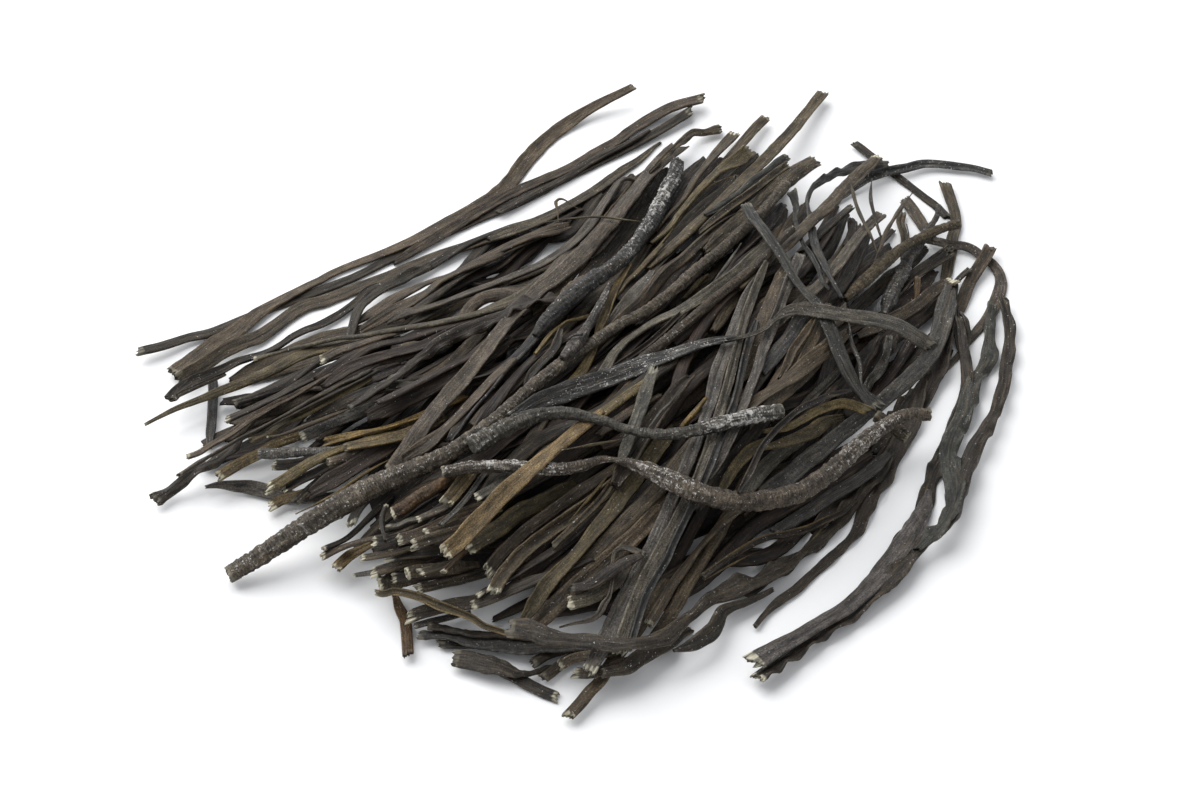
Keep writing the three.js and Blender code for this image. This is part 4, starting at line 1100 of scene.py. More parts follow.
@dataclass(frozen=True)
class DriedSeaweed:
    """Brown seaweed, washed in the sea and dried in air.

    Drying pulls the skin in between the fibres, so it shows lengthwise lines on ribbons and cross wrinkles on
    stems. It is leathery: a soft satin on the high places, dull in the hollows. The sea's salt dries on it in
    pale specks and, where the strand held water, in a thin white film.

    Real fibre lines are about 0.2 mm wide, the skin's grain is about 0.1 mm and salt grains are under 0.2 mm.
    All three are drawn larger, so that they show.

    Attributes:
        fibre: Width and length of a fibre line, in mm, as for the six patterns below.
        wrinkle: Cross wrinkles.
        grain: The skin's grain.
        patch: Patches of lighter or darker skin.
        streak: Bleached streaks.
        speck: Salt specks.
        film: Patches of salt film.
        depths: Depth of the fibre lines, of the cross wrinkles and of the grain, in mm.
        contrast: Share by which the fibre lines, the grain and the patches change the skin's colour. For the
            lines this is painted light and shade, lighter on the raised lines; for the grain it is partly its
            own speckle and partly painted light, lighter where its bump is high; the patches are the skin's
            own tone.
        span: Strengths between which nearly all of a pattern lies.
        crumble: How strong the finer layers of all patterns are.
        satin: Lowest roughness, on the high places.
        dull: Highest roughness, in the hollows.
        ior: Refractive index of a dry plant skin.
        warm_colour: Colour of the skin where it has bleached.
    """

    name: str
    fibre: Span = (0.42, 5.0)
    wrinkle: Span = (2.2, 0.8)
    grain: Span = (0.36, 0.36)
    patch: Span = (2.0, 4.5)
    streak: Span = (0.8, 9.0)
    speck: Span = (0.42, 0.504)
    film: Span = (1.4, 3.0)
    depths: tuple[float, float, float] = (0.3, 0.14, 0.18)
    contrast: tuple[float, float, float] = (0.45, 0.7, 0.55)
    span: Span = (0.3, 0.7)
    crumble: float = 0.62
    satin: float = 0.38
    dull: float = 0.72
    ior: float = 1.45
    gloss: float = 0.4
    salt_colour: str = "#b6b3ae"
    flesh_colour: str = "#dfd9bf"
    warm_colour: str = "#5f523d"

    def make(self) -> bpy.types.Material:
        """Builds the material's nodes.

        Returns:
            The material.
        """
        material = bpy.data.materials.new(self.name)
        material.use_nodes = True
        tree = material.node_tree
        tree.nodes.clear()
        skin, fibre, salt, cut = (
            add_node(tree, "ShaderNodeAttribute", {}, attribute_name=name).outputs[output]
            for name, output in (("skin", "Color"), ("fibre", "Vector"), ("salt", "Fac"), ("cut", "Fac"))
        )
        value: dict[str, bpy.types.NodeSocket] = {"salt": salt}
        patterns = (
            ("lines", self.fibre, 3.0), ("wrinkles", self.wrinkle, 2.0), ("grain", self.grain, 2.0),
            ("patches", self.patch, 2.0), ("streaks", self.streak, 2.0), ("grit", self.speck, 1.0),
            ("film", self.film, 4.0),
        )
        for name, (wide, long), detail in patterns:
            scaled = add_node(tree, "ShaderNodeVectorMath", {0: fibre, 1: (1 / long, 1 / wide, 1.0)},
                              operation="MULTIPLY")
            noise = add_node(tree, "ShaderNodeTexNoise", {
                "Vector": scaled.outputs[0], "Scale": 1.0, "Detail": detail, "Roughness": self.crumble,
            })
            value[name] = noise.outputs["Fac"]
        sums = (
            ("low", "lines", self.depths[0], None), ("middle", "wrinkles", self.depths[1], "low"),
            ("height", "grain", self.depths[2], "middle"), ("clump", "film", 0.35, "grit"),
            ("specks", "salt", 0.2, "clump"), ("thin_film", "film", 0.45, None),
            ("streaky", "lines", 1.1, "thin_film"), ("crust", "salt", 0.36, "streaky"),
        )
        for name, source, factor, more in sums:
            node = add_node(tree, "ShaderNodeMath", {0: value[source], 1: factor, 2: value.get(more, 0.0)},
                            operation="MULTIPLY_ADD")
            value[name] = node.outputs[0]
        # Painted light: the fibre lines are lighter where their bump is high and darker in the hollows; the
        # grain is partly its own speckle and partly painted light on its bump; the patches are the skin's own
        # tone.
        lines, grain, patches = self.contrast
        ranges = (
            ("fibre_painted_light", "lines", *self.span, 1.0 - lines, 1.0 + lines),
            ("grain_tone_and_painted_light", "grain", *self.span, 1.0 - grain, 1.0 + grain),
            ("patch_shade", "patches", *self.span, 1.0 - patches, 1.0 + patches),
            ("bleached", "streaks", 0.56, 0.74, 0.0, 0.5), ("speck_share", "specks", 0.95, 1.0, 0.0, 0.9),
            ("crust_share", "crust", 1.02, 1.42, 0.0, 0.55),
            ("rough", "lines", *self.span, self.dull, self.satin),
        )
        for name, source, low, high, first, last in ranges:
            node = add_node(tree, "ShaderNodeMapRange", {
                "Value": value[source], "From Min": low, "From Max": high, "To Min": first, "To Max": last,
            })
            value[name] = node.outputs["Result"]
        shade = value["fibre_painted_light"]
        for name in ("grain_tone_and_painted_light", "patch_shade"):
            product = add_node(tree, "ShaderNodeMath", {0: shade, 1: value[name]}, operation="MULTIPLY")
            shade = product.outputs[0]
        grey = add_node(tree, "ShaderNodeCombineColor", {0: shade, 1: shade, 2: shade})
        colour = add_node(tree, "ShaderNodeMix", {MIX_SHARE: 1.0, MIX_UNDER: skin, MIX_OVER: grey.outputs[0]},
                          data_type="RGBA", blend_type="MULTIPLY").outputs[MIX_RESULT]
        layers = (
            (value["bleached"], self.warm_colour), (value["crust_share"], self.salt_colour),
            (value["speck_share"], self.salt_colour), (cut, self.flesh_colour),
        )
        for share, tint in layers:
            colour = add_node(tree, "ShaderNodeMix", {
                MIX_SHARE: share, MIX_UNDER: colour, MIX_OVER: linear(tint),
            }, data_type="RGBA").outputs[MIX_RESULT]
        bump = add_node(tree, "ShaderNodeBump", {"Height": value["height"], "Distance": MM, "Strength": 1.0})
        shader = add_node(tree, "ShaderNodeBsdfPrincipled", {
            "Base Color": colour, "Roughness": value["rough"], "Normal": bump.outputs[0], "IOR": self.ior,
            "Specular IOR Level": self.gloss,
        })
        add_node(tree, "ShaderNodeOutputMaterial", {"Surface": shader.outputs[0]})
        return material


def join_mesh(
    name: str, points: np.ndarray, faces: list[list[int]], layers: dict[str, np.ndarray],
    finish: bpy.types.Material,
) -> bpy.types.Object:
    """Makes a piece of the heap from arrays.

    Args:
        name: Name of the piece.
        points: Points in mm.
        faces: Numbers of each face's points.
        layers: Values at the points that the finish reads, by name: colours, vectors or plain numbers.
        finish: The piece's material.

    Returns:
        The piece, fixed to the heap's one body in place of the plain solid.
    """
    mesh = bpy.data.meshes.new(name)
    mesh.from_pydata(points * MM, [], faces)
    mesh.shade_smooth()
    kinds = {4: ("FLOAT_COLOR", "color"), 3: ("FLOAT_VECTOR", "vector"), 1: ("FLOAT", "value")}
    for layer, values in layers.items():
        kind, key = kinds[1 if values.ndim == 1 else values.shape[1]]
        mesh.attributes.new(layer, kind, "POINT").data.foreach_set(key, values.astype(np.float32).ravel())
    mesh.materials.append(finish)
    piece = add_object(name, mesh)
    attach(piece, "root")
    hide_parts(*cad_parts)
    LOG.info("%s: %d triangles", name, sum(len(face) - 2 for face in faces))
    return piece


@dataclass
class Section:
    """Cross sections of a strand, one row for each ring.

    Attributes:
        aside: Places of the points across the width, in mm.
        upper: Heights of the upper face, in mm.
        lower: Heights of the lower face, in mm.
        light: Factor on the skin's colour: painted light and shade over the relief, lighter on rims, ridges
            and crests and darker in furrows, channels and cracks, with some of the skin's own tone that
            changes at random.
        crust: Factor on the salt.
        girth: Places of the points along the skin, in mm.
    """

    aside: np.ndarray
    upper: np.ndarray
    lower: np.ndarray
    light: np.ndarray
    crust: np.ndarray
    girth: np.ndarray


def ringed(upper: np.ndarray, lower: np.ndarray) -> np.ndarray:
    """Values round a strand: over the upper face from edge to edge, then back along the lower face."""
    return np.hstack([upper, lower[:, -2:0:-1]])


@dataclass(frozen=True)
class StrandSkin:
    """How strands differ in colour, salt and cut ends. A pair is a least and a largest factor.

    Attributes:
        painted_under_shade: Factor on the colour of the lower face: painted shade, since it faces away from
            the light.
        under_salt: Factor on the salt of the lower face.
        flesh: Factor on the paleness of a cut end.
        flesh_reach: How far the pale flesh runs in from a cut end, in mm.
        flesh_fade: Length over which it ends, in mm.
        offset: Largest shift of a strand's patterns, in mm, so that no two strands look alike.
    """

    brightness: Span = (0.76, 1.16)
    red: Span = (0.98, 1.05)
    blue: Span = (0.8, 1.0)
    painted_under_shade: float = 0.8
    under_salt: float = 0.3
    flesh: Span = (0.5, 1.0)
    flesh_reach: float = 0.7
    flesh_fade: float = 0.25
    offset: float = 500.0

    def layers(
        self, lay: Lay, shape: Section, rng: np.random.Generator
    ) -> tuple[dict[str, np.ndarray], list[float]]:
        """Values that the finish reads at a strand's points.

        Args:
            lay: The strand as it lies.
            shape: Its cross sections.
            rng: Source of the random values.

        Returns:
            The values by name, ring by ring, and how pale its two cut ends are.
        """
        tone = np.array(linear(lay.track.tone.value)) * rng.uniform(*self.brightness)
        tone = tone * np.array([rng.uniform(*self.red), 1.0, rng.uniform(*self.blue), 1.0])
        # The lower face is darker by painted shade; shape.light carries the painted light and shade of the
        # relief.
        skin = tone * ringed(shape.light, shape.light * self.painted_under_shade)[..., None]
        start = rng.uniform(0.0, self.offset, 2)
        girth = ringed(shape.girth, 2 * shape.girth[:, -1:] - shape.girth)
        run = np.broadcast_to(lay.along[:, None] + start[0], girth.shape)
        fibre = np.stack([run, girth, np.full(girth.shape, start[1])], axis=-1)
        salt = spread(np.atleast_1d(lay.track.salt), lay.along)
        salt = (salt * (1.0 + 0.5 * wander(rng, lay.along, 18.0)))[:, None]
        salt = salt * ringed(shape.crust, shape.crust * self.under_salt)
        cut = np.zeros_like(salt)
        flesh = [pale * rng.uniform(*self.flesh) for pale in lay.track.pale]
        for pale, distance in zip(flesh, from_ends(lay.along)):
            reach = rng.uniform(0.0, self.flesh_reach, salt.shape[1])
            cut += pale * np.clip((reach - distance[:, None]) / self.flesh_fade, 0.0, 1.0)
        return {"skin": skin, "fibre": fibre, "salt": salt, "cut": cut}, flesh


@dataclass
class StrandPiece:
    """Flat ribbons of one colour, joined in one mesh. The other kinds of strand change its cross section.

    Attributes:
        name: Name of the piece.
        ring_step: Distance between the rings of a strand's mesh, in mm.
        stations: Number of points from edge to edge of one face.
        thickness: Thickness in mm, or for a round strand the share of its width.
        wrinkle: Height of the lengthwise wrinkles, in mm.
        furrow: Depth of the furrow along the upper face, in mm.
        torn: How far a cut end is ragged, as a share of the width.
        floor_gap: Least height over the floor, in mm.
        crowding: How far the points crowd to the edges, from 0 to 1.
    """

    name: str
    finish: bpy.types.Material
    ring_step: float = 1.0
    stations: int = 12
    thickness: float = 0.85
    wrinkle: float = 0.10
    furrow: float = 0.35
    torn: float = 0.6
    floor_gap: float = 0.1
    crowding: float = 0.4
    skin: StrandSkin = StrandSkin()
    points: list[np.ndarray] = field(default_factory=list, init=False)
    faces: list[list[int]] = field(default_factory=list, init=False)
    layers: dict[str, list[np.ndarray]] = field(default_factory=dict, init=False)
    made: int = field(default=0, init=False)

    def shares(self) -> np.ndarray:
        """Places of the points across the width, from -1 to 1, closer together at the edges."""
        even = np.linspace(-1.0, 1.0, self.stations)
        return np.sin(even * math.pi / 2) * self.crowding + even * (1.0 - self.crowding)

    def section(self, lay: Lay, rng: np.random.Generator) -> Section:
        """Shapes the strand's cross sections.

        Args:
            lay: The strand as it lies.
            rng: Source of the random values.

        Returns:
            The sections, one for each ring.
        """
        share = self.shares()[None, :]
        along = lay.along
        left, right = (
            lay.half * (1.0 + 0.09 * wander(rng, along, 9.0) + 0.06 * wander(rng, along, 2.5))
            for _ in range(2)
        )
        aside = np.where(share > 0, share * left[:, None], share * right[:, None])
        cup = 0.32 * lay.half * wander(rng, along, 55.0)
        wrinkles = wander(rng, along, 10.0, self.stations) + 0.5 * wander(rng, along, 3.0, self.stations)
        wrinkles = wrinkles * rng.uniform(0.25, 1.15)
        middle = cup[:, None] * (share ** 2 - 0.4) + self.wrinkle * wrinkles
        full = self.thickness / 2 * (1.0 + 0.2 * wander(rng, along, 12.0))[:, None]
        deep = full * np.sqrt(1.0 - 0.9 * np.abs(share) ** 6)
        furrow = bell(share, 0.55 * wander(rng, along, 70.0)[:, None], 0.14)
        furrow = furrow * np.clip(0.3 + wander(rng, along, 35.0), 0.0, 1.0)[:, None]
        rim = bell(np.abs(share), 0.88, 0.1)
        # Painted light: the rims are lighter as painted highlight, the furrow darker as painted shade, and
        # the wrinkles lighter and darker as painted light and shade; the slow wander is the skin's own tone.
        light = 1.0 + 0.3 * rim + 0.08 * wrinkles + 0.15 * wander(rng, along, 24.0)[:, None] - 0.5 * furrow
        upper = middle + deep - self.furrow * furrow + 0.08 * rim
        return Section(aside, upper, middle - deep, np.clip(light, 0.35, 1.8), np.ones_like(aside), aside)

    def add(self, lay: Lay, rng: np.random.Generator) -> None:
        """Adds a strand's mesh to the piece.

        Args:
            lay: The strand as it lies.
            rng: Source of the random values.
        """
        shape = self.section(lay, rng)
        aside = ringed(shape.aside, shape.aside)
        height = ringed(shape.upper, shape.lower)
        edges = [0, shape.aside.shape[1] - 1]
        height[:, edges] = (shape.upper + shape.lower)[:, edges] / 2
        ahead = np.cross(lay.across, lay.outward)
        points = (lay.centre[:, None, :] + lay.across[:, None, :] * aside[..., None]
                  + lay.outward[:, None, :] * height[..., None])
        for end, sign in ((0, -1.0), (-1, 1.0)):
            ragged = rng.uniform(-1.0, 1.0) * aside[end]
            ragged = ragged + rng.uniform(-0.5, 0.5, aside.shape[1]) * lay.half[end]
            points[end] += ahead[end] * (sign * self.torn * (ragged - ragged.min()))[:, None]
        skins, flesh = self.skin.layers(lay, shape, rng)
        self.join(points, skins, flesh, rng)

    def join(
        self, points: np.ndarray, skins: dict[str, np.ndarray], pale: list[float], rng: np.random.Generator
    ) -> None:
        """Joins a strand's rings to the piece and closes its ends.

        Args:
            points: Points in mm, ring by ring.
            skins: Values at the points that the finish reads.
            pale: How pale the cut face at each end is.
            rng: Source of the random values.
        """
        rings, around = points.shape[:2]
        grid = self.made + np.arange(rings * around).reshape(rings, around)
        after = np.roll(grid, -1, axis=1)
        self.faces += np.stack([grid[:-1], grid[1:], after[1:], after[:-1]], axis=-1).reshape(-1, 4).tolist()
        parts = [points.reshape(-1, 3)]
        values = {name: [row.reshape(-1, *row.shape[2:])] for name, row in skins.items()}
        self.made += rings * around
        # Each end gets a rough ring inside its rim, and a middle that lies one ring deeper.
        for end, next_ring, ring, flesh in ((0, 1, grid[0], pale[0]), (-1, -2, grid[-1], pale[1])):
            middle = points[end].mean(axis=0)
            inward = points[next_ring].mean(axis=0) - middle
            lip = middle + (points[end] - middle) * 0.7 + inward * rng.uniform(-0.6, 1.6, (around, 1))
            parts += [lip, middle[None, :] + inward]
            for name, row in skins.items():
                values[name] += [row[end], row[end][:1]]
            values["cut"][-2:] = [flesh * rng.uniform(0.1, 1.0, around), np.full(1, flesh * 0.6)]
            inside = self.made + np.arange(around)
            turn = 1 if end == 0 else -1
            beside, beside_in = np.roll(ring, -1), np.roll(inside, -1)
            self.faces += np.column_stack([ring, beside, beside_in, inside])[:, ::turn].tolist()
            centre = np.full(around, self.made + around)
            self.faces += np.column_stack([inside, beside_in, centre])[:, ::turn].tolist()
            self.made += around + 1
        whole = np.vstack(parts)
        whole[:, 2] = np.maximum(whole[:, 2], self.floor_gap)
        self.points.append(whole)
        for name, part in values.items():
            self.layers.setdefault(name, []).append(np.concatenate(part))

    def build(self) -> bpy.types.Object:
        """Makes the joined mesh and dresses it."""
        layers = {name: np.concatenate(parts) for name, parts in self.layers.items()}
        return join_mesh(self.name, np.vstack(self.points), self.faces, layers, self.finish)


@dataclass
class FoldedRibbons(StrandPiece):
    """Ribbons that dried with both edges drawn up, so that a channel runs between two ridges. The ridges are
    lighter as painted highlight and the channel is darker as painted shade.

    Attributes:
        channel: Depth of the channel, as a share of the half width.
        ridge: Place of the ridges, as a share of the half width.
    """

    channel: float = 0.5
    ridge: float = 0.8

    def section(self, lay: Lay, rng: np.random.Generator) -> Section:
        """Shapes the channelled cross sections.

        Args:
            lay: The strand as it lies.
            rng: Source of the random values.

        Returns:
            The sections, one for each ring.
        """
        shape = super().section(lay, rng)
        share = np.abs(self.shares())[None, :]
        depth = self.channel * lay.half * (1.0 + 0.4 * wander(rng, lay.along, 20.0))
        side = np.clip(share / self.ridge, 0.0, 1.0) ** 1.8 - 0.45
        drawn_up = depth[:, None] * side * (1.0 - 0.5 * share ** 8)
        # Painted light: lighter ridges as painted highlight, a darker channel as painted shade.
        light = shape.light * (1.0 + 0.5 * bell(share, self.ridge, 0.16) - 0.4 * bell(share, 0.0, 0.4))
        return replace(shape, upper=shape.upper + drawn_up, lower=shape.lower + drawn_up, light=light)


@dataclass
class CrinkledRibbons(StrandPiece):
    """Thin ribbons whose edges dried in waves.

    Attributes:
        wave: Length of a wave along the edge, in mm.
        swing: Height of a wave, as a share of the half width.
        crease: Distance between the slanting creases, in mm.
        crease_height: Height of a crease, in mm.
    """

    wave: float = 9.0
    swing: float = 0.6
    crease: float = 3.4
    crease_height: float = 0.14

    def section(self, lay: Lay, rng: np.random.Generator) -> Section:
        """Shapes the waved cross sections.

        Args:
            lay: The strand as it lies.
            rng: Source of the random values.

        Returns:
            The sections, one for each ring.
        """
        shape = super().section(lay, rng)
        share = self.shares()[None, :]
        out = np.abs(share)
        along = lay.along
        edges = []
        for _ in range(2):
            turn = along / self.wave * 2 * math.pi * rng.uniform(0.8, 1.25)
            turn = turn + 3.4 * wander(rng, along, 17.0)
            peak = np.sin(turn + rng.uniform(0.0, 6.28))
            size = self.swing * lay.half * np.clip(0.35 + wander(rng, along, 22.0), 0.05, 1.2)
            edges.append((size * np.sign(peak) * np.abs(peak) ** 1.4)[:, None])
        slant = 2 * math.pi * along / self.crease + 3.0 * wander(rng, along, 6.0)
        creases = out * np.sin(slant[:, None] + 3.2 * out + np.where(share > 0, 0.0, 2.0))
        creases = creases * np.clip(0.3 + wander(rng, along, 12.0), 0.0, 1.0)[:, None]
        lifted = np.where(share > 0, edges[0], edges[1]) * out ** 1.5 + self.crease_height * creases
        narrow = 1.0 + 0.2 * wander(rng, along, 6.0)[:, None]
        # Painted light: the waved edges are lighter as painted highlight, and each crease is lighter on one
        # side and darker on the other as painted light and shade.
        light = shape.light * (1.0 + 0.35 * out ** 6 + 0.3 * creases)
        return replace(shape, aside=shape.aside * narrow, upper=shape.upper + lifted,
                       lower=shape.lower + lifted, light=light)


@dataclass
class WrinkledStems(StrandPiece):
    """Round stems that shrank to a finely wrinkled, cracked bark.

    Attributes:
        groove: Height of the lengthwise wrinkles, as a share of the radius.
        groove_length: Length of a lengthwise wrinkle, in mm.
        pebble: Length of a pebble of the skin, in mm.
        relief: Height of the pebbles, as a share of the radius.
        crack_spacing: Mean distance between cross cracks, in mm.
        crack_depth: Depth of a crack, as a share of the radius.
        crack_width: Width of a crack, in mm.
        salty: Share of the cracks that salt fills.
    """

    groove: float = 0.09
    groove_length: float = 7.0
    pebble: float = 0.7
    relief: float = 0.13
    crack_spacing: float = 1.3
    crack_depth: float = 0.13
    crack_width: float = 0.28
    salty: float = 0.45

    def crack(
        self, along: np.ndarray, turn: np.ndarray, rng: np.random.Generator
    ) -> tuple[np.ndarray, np.ndarray]:
        """Draws the cross cracks of a stem.

        Args:
            along: Distances along it, in mm.
            turn: Angles round it, in radians.
            rng: Source of the random values.

        Returns:
            Strength of all cracks and of those that salt fills, one row for each distance.
        """
        cracks = np.zeros((len(along), turn.shape[1]))
        filled = np.zeros_like(cracks)
        gaps = rng.uniform(0.2, 1.8, int(along[-1] / self.crack_spacing)) * self.crack_spacing
        for spot in np.cumsum(gaps):
            reach = bell(turn, rng.uniform(0.4, 2.7), rng.uniform(0.4, 1.0))
            one = rng.uniform(0.2, 1.0) * bell(along, spot, self.crack_width)[:, None] * reach
            cracks += one
            filled += one * (rng.uniform() < self.salty)
        return np.clip(cracks, 0.0, 1.0), np.clip(filled, 0.0, 1.0)

    def section(self, lay: Lay, rng: np.random.Generator) -> Section:
        """Shapes the round, wrinkled cross sections.

        Args:
            lay: The strand as it lies.
            rng: Source of the random values.

        Returns:
            The sections, one for each ring.
        """
        along = lay.along
        turn = np.linspace(math.pi, 0.0, self.stations)[None, :]
        grooves = [wander(rng, along, self.groove_length, self.stations) for _ in range(2)]
        pebbles = [wander(rng, along, self.pebble, self.stations) for _ in range(2)]
        pinch = 0.07 * wander(rng, along, 6.0)[:, None]
        cracks, filled = self.crack(along, turn, rng)
        radius = lay.half[:, None]
        upper, lower = (
            radius * (1.0 + pinch - self.crack_depth * cracks + self.groove * groove + self.relief * bump)
            for groove, bump in zip(grooves, pebbles)
        )
        # Painted light: raised grooves and pebbles are lighter and the cracks darker, as painted light and
        # shade over the bark's relief.
        light = 1.0 + 0.32 * grooves[0] + 0.22 * pebbles[0]
        crust = 0.75 + 0.5 * pebbles[0] + 0.5 * grooves[0]
        return Section(
            upper * np.cos(turn), upper * np.sin(turn) * self.thickness,
            -lower * np.sin(turn) * self.thickness, light * (1.0 - 0.6 * cracks),
            np.clip(crust, 0.0, 1.6) + 1.4 * filled, radius * (math.pi / 2 - turn),
        )


@dataclass
class Threads(StrandPiece):
    """Thin wisps, nearly round.

    Attributes:
        point: Length of the point at each end, in mm.
    """

    point: float = 8.0

    def section(self, lay: Lay, rng: np.random.Generator) -> Section:
        """Shapes the small round cross sections.

        Args:
            lay: The strand as it lies.
            rng: Source of the random values.

        Returns:
            The sections, one for each ring.
        """
        turn = np.linspace(math.pi, 0.0, self.stations)[None, :]
        narrow = np.clip(np.minimum(*from_ends(lay.along)) / self.point, 0.35, 1.0)
        size = (lay.half * narrow * (1.0 + 0.2 * wander(rng, lay.along, 5.0)))[:, None]
        upper = size * np.sin(turn) * self.thickness
        even = np.ones((len(lay.along), self.stations))
        return Section(size * np.cos(turn), upper, -upper, even, even, size * (math.pi / 2 - turn))


@dataclass
class Core:
    """Dark tangle in the middle, under all strands. Its colour is painted shade, near black, for the deep
    shade inside the heap. Lengths are in mm.

    Attributes:
        seen: Pixel over its middle.
        floor_gap: Height of its rim over the floor.
        turn: Angle of its length from +X, in degrees.
        top: Size of the last ring, as a share of the rim.
        dome: Power by which it gets flat towards the top.
        shade: Factor that darkens the painted-shade tone further, for the core's painted shade.
        fineness: Steps between two rings and between two points in which the surface is raised.
    """

    finish: bpy.types.Material
    seen: Pixel = (618, 398)
    length: float = 136.0
    width: float = 88.0
    height: float = 15.5
    floor_gap: float = 0.3
    turn: float = -6.0
    rings: int = 14
    around: int = 72
    top: float = 0.03
    dome: float = 2.4
    lump: float = 0.1
    shade: float = 0.6
    fineness: tuple[int, int] = (40, 12)

    def points(self, view: PhotoView, rng: np.random.Generator) -> np.ndarray:
        """Points of the lumpy dome, from the rim up.

        Args:
            view: The photograph's viewpoint.
            rng: Source of the random values.

        Returns:
            Points in mm, ring by ring.
        """
        middle = view.place(np.array(self.seen, dtype=float), np.array(self.height * 0.5))
        angle = np.linspace(0.0, 2 * math.pi, self.around, endpoint=False)
        share = np.linspace(1.0, self.top, self.rings)[:, None]
        long = np.cos(angle) * self.length / 2 * share
        wide = np.sin(angle) * self.width / 2 * share
        lumps = 1.0 + self.lump * rng.uniform(-1.0, 1.0, (self.rings, self.around))
        height = self.height * (1.0 - share ** self.dome) * lumps + self.floor_gap
        turn = math.radians(self.turn)
        return np.stack([middle[0] + long * math.cos(turn) - wide * math.sin(turn),
                         middle[1] + long * math.sin(turn) + wide * math.cos(turn), height], axis=-1)

    def build(self, view: PhotoView, surface: HeapSurface, rng: np.random.Generator) -> bpy.types.Object:
        """Makes the core and raises the surface over it.

        Args:
            view: The photograph's viewpoint.
            surface: Surface that the strands are laid on.
            rng: Source of the random values.

        Returns:
            The core, placed in the frame.
        """
        points = self.points(view, rng)
        grid = np.arange(self.rings * self.around).reshape(self.rings, self.around)
        after = np.roll(grid, -1, axis=1)
        faces = np.stack([grid[:-1], after[:-1], after[1:], grid[1:]], axis=-1).reshape(-1, 4).tolist()
        faces += [grid[-1].tolist(), grid[0][::-1].tolist()]
        up_steps, side_steps = self.fineness
        for share in np.linspace(0.0, 1.0, up_steps):
            between = points[:-1] * (1.0 - share) + points[1:] * share
            for part in np.linspace(0.0, 1.0, side_steps, endpoint=False):
                surface.raise_to(between * (1.0 - part) + np.roll(between, -1, axis=1) * part)
        flat = points.reshape(-1, 3)
        none = np.zeros(len(flat))
        # Painted shade: the core gets the SHADE tone, darkened further.
        skin = np.tile(np.array(linear(SHADE.value)) * self.shade, (len(flat), 1))
        layers = {"skin": skin, "fibre": flat, "salt": none, "cut": none}
        return join_mesh("dark_core", flat, faces, layers, self.finish)


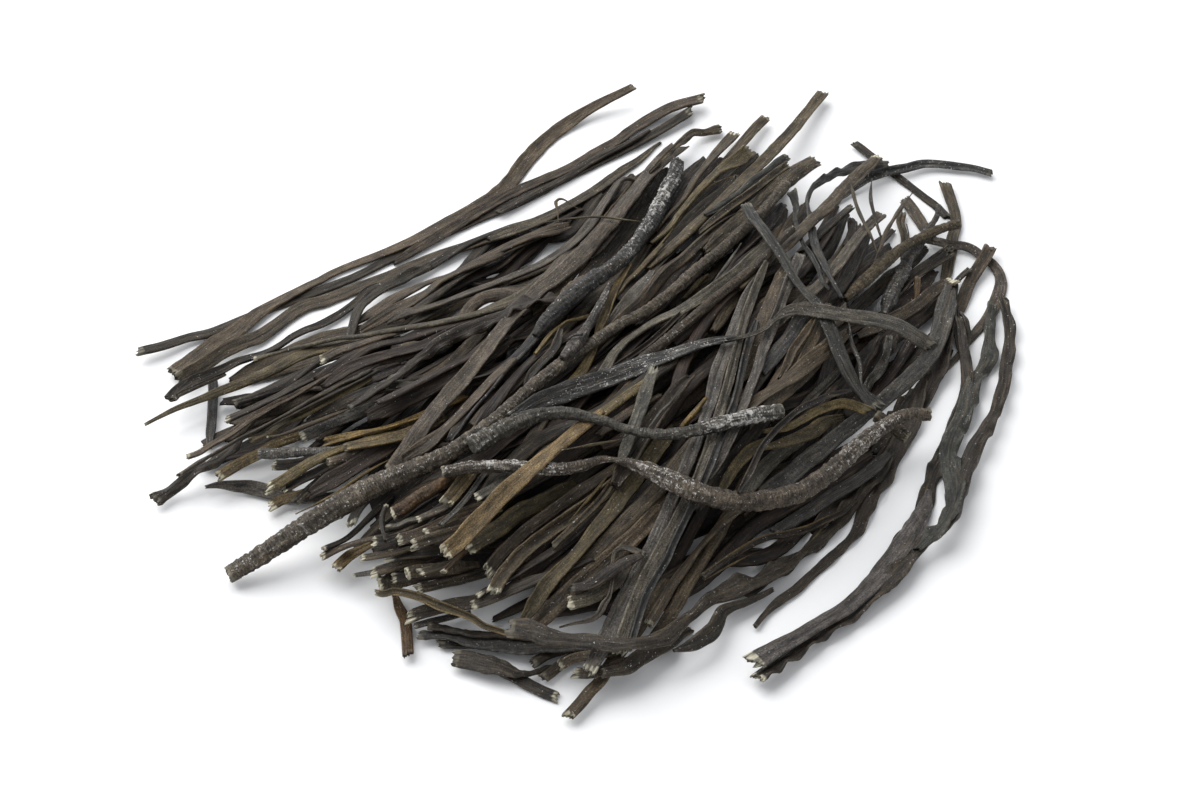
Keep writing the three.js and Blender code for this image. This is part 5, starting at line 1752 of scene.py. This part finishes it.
@dataclass
class Heap:
    """The whole heap: its core, the strands that fill it and the strands that show.

    The core and the filling strands draw from one random source. Each strand that shows has its own, which
    starts from its first pixel, so that one can change without the others.

    Attributes:
        slot: Least and largest place of a filling strand in its own part of the sheaf.
        stagger: Largest share by which a filling strand is short at its near and at its far end.
        stray: How far a filling strand's ends and middle stray, as a share of the sheaf and in pixels.
        bends: Places along a filling strand at which it bends, as shares.
    """

    view: PhotoView
    seed: int = SEED
    slot: Span = (0.1, 0.9)
    stagger: Span = (0.12, 0.16)
    stray: Span = (0.12, 9.0)
    bends: tuple[float, ...] = (0.25, 0.5, 0.75)
    fill_widths: Span = (2.8, 4.4)
    # SHADE among the filling strands' tones is painted shade, for the deep gaps under the strands that show.
    fill_tones: tuple[Tone, ...] = (SHADE, DARK, SHADE, BROWN, DARK)
    fill_salt: float = 0.05

    def fill_tracks(self, rng: np.random.Generator) -> list[Track]:
        """Courses of the strands under the ones that show.

        Args:
            rng: Source of the random values.

        Returns:
            One course for each strand of each sheaf, in a mixed order.
        """
        tracks = []
        for sheaf in SHEAVES:
            near, far = np.array(sheaf.near, dtype=float), np.array(sheaf.far, dtype=float)
            for i in range(sheaf.count):
                share = (i + rng.uniform(*self.slot)) / sheaf.count
                other = np.clip(share + rng.normal(0.0, self.stray[0]), 0.0, 1.0)
                first = near[0] * (1 - share) + near[1] * share
                last = far[0] * (1 - other) + far[1] * other
                run = last - first
                first = first + run * rng.uniform(0.0, self.stagger[0])
                last = last - run * rng.uniform(0.0, self.stagger[1])
                aside = np.array([run[1], -run[0]]) / np.linalg.norm(run)
                between = [first + (last - first) * part + aside * rng.normal(0.0, self.stray[1])
                           for part in self.bends]
                tone = self.fill_tones[int(rng.integers(len(self.fill_tones)))]
                width = float(rng.uniform(*self.fill_widths))
                seen = tuple(tuple(point) for point in (first, *between, last))
                tracks.append(tucked(FLAT, tone, width, *seen, salt=self.fill_salt))
        return [tracks[i] for i in rng.permutation(len(tracks))]

    def build(self) -> list[bpy.types.Object]:
        """Lays all strands and makes the pieces.

        Returns:
            The pieces, the core first.
        """
        rng = np.random.default_rng(self.seed)
        surface = HeapSurface(self.view)
        ribbon = DriedSeaweed("air_dried_seaweed_ribbon").make()
        bark = DriedSeaweed("air_dried_seaweed_stem", fibre=(1.3, 0.36), wrinkle=(1.6, 0.6),
                            depths=(0.3, 0.25, 0.2), satin=0.45, dull=0.8).make()
        core = Core(ribbon).build(self.view, surface, rng)
        fill = StrandPiece("under_strands", ribbon, ring_step=2.0, stations=7, thickness=0.8)
        grey, brown, dark = (StrandPiece(f"{name}_ribbons", ribbon) for name in ("grey", "brown", "dark"))
        by_tone = {GREY: grey, CHARCOAL: grey, ASH: grey, BROWN: brown, RUSSET: brown}
        by_kind = {
            FOLD: FoldedRibbons("folded_ribbons", ribbon, thickness=0.9),
            CRINKLE: CrinkledRibbons("crinkled_ribbons", ribbon, ring_step=0.7, thickness=0.8),
            STEM: WrinkledStems("wrinkled_stems", bark, ring_step=0.45, stations=16, thickness=0.88,
                                torn=0.15),
            THREAD: Threads("threads", ribbon, stations=4, thickness=0.8, torn=0.1),
        }
        for track in self.fill_tracks(rng):
            fill.add(surface.lay(track, fill.thickness, fill.ring_step, rng), rng)
        for track in COURSES:
            piece = by_kind.get(track.kind) or by_tone.get(track.tone, dark)
            own = np.random.default_rng([self.seed, *track.seen[0]])
            piece.add(surface.lay(track, piece.thickness, piece.ring_step, own), own)
        LOG.info("heap: %.1f mm high", surface.heights.max())
        return [core, *(piece.build() for piece in (fill, grey, brown, dark, *by_kind.values()))]


@dataclass(frozen=True)
class WhiteCard:
    """Thick white card with a matt coating.

    The coating scatters nearly all light and has no gloss, so the card burns out to white under the lamp.
    """

    name: str = "matt_white_card"
    colour: str = "#f0f0f0"
    roughness: float = 0.9
    gloss: float = 0.1

    def make(self) -> bpy.types.Material:
        """Makes the material.

        Returns:
            The material.
        """
        material = bpy.data.materials.new(self.name)
        material.use_nodes = True
        inputs = material.node_tree.nodes["Principled BSDF"].inputs
        inputs["Base Color"].default_value = linear(self.colour)
        inputs["Roughness"].default_value = self.roughness
        inputs["Specular IOR Level"].default_value = self.gloss
        return material


@dataclass(frozen=True)
class Studio:
    """Pale floor and soft light. Lengths are in mm.

    Attributes:
        key_power: Power of the large lamp, in W.
        key_from: How far the lamp stands to the right, to the back and up, as shares.
        fill_light: Strength of the light from all round.
        fill_colour: Its colour.
    """

    view: PhotoView
    floor_side: float = 6000.0
    key_power: float = 15.5
    key_side: float = 1200.0
    key_distance: float = 1000.0
    key_from: tuple[float, float, float] = (-0.6, 0.5, 1.0)
    fill_light: float = 0.64
    fill_colour: str = "#f9fbff"

    def build_floor(self) -> None:
        """Lays the floor under the heap."""
        half = self.floor_side / 2 * MM
        corners = [(-half, -half, 0.0), (half, -half, 0.0), (half, half, 0.0), (-half, half, 0.0)]
        mesh = bpy.data.meshes.new("pale_floor")
        mesh.from_pydata(corners, [], [(0, 1, 2, 3)])
        mesh.materials.append(WhiteCard().make())
        floor = add_object("pale_floor", mesh)

    def build_lamp(self) -> None:
        """Hangs the large lamp so that it faces the heap."""
        right, _, forward = self.view.axes()
        level = np.array([forward[0], forward[1], 0.0]) / math.hypot(forward[0], forward[1])
        towards = unit(sum(part * axis for part, axis in zip(self.key_from, (right, level, UP))))
        side = unit(np.cross([0.0, 1.0, 0.0], towards))
        lamp = bpy.data.lights.new("large_soft_lamp", "AREA")
        lamp.energy = self.key_power
        lamp.size = self.key_side * MM
        spot = (np.array(self.view.aim) + towards * self.key_distance) * MM
        shown = add_object("large_soft_lamp", lamp)
        shown.matrix_world = placed(side, np.cross(towards, side), towards, spot)

    def build_room(self) -> None:
        """Sets the light from all round."""
        world = bpy.data.worlds.new("white_room")
        world.use_nodes = True
        back = world.node_tree.nodes["Background"]
        back.inputs["Color"].default_value = linear(self.fill_colour)
        back.inputs["Strength"].default_value = self.fill_light
        bpy.context.scene.world = world
        bpy.context.scene.view_settings.view_transform = "Standard"

    def build(self) -> None:
        """Makes the floor, the lamp and the light from all round."""
        for step in (self.build_floor, self.build_lamp, self.build_room):
            step()


def main() -> None:
    """Builds the heap and the studio in order."""
    logging.basicConfig(level=logging.INFO, format="%(message)s")
    view = PhotoView()
    view.make_camera()
    for piece in Heap(view).build():
        LOG.info("placed %s", piece.name)
    Studio(view).build()


if __name__ == "__main__":
    main()
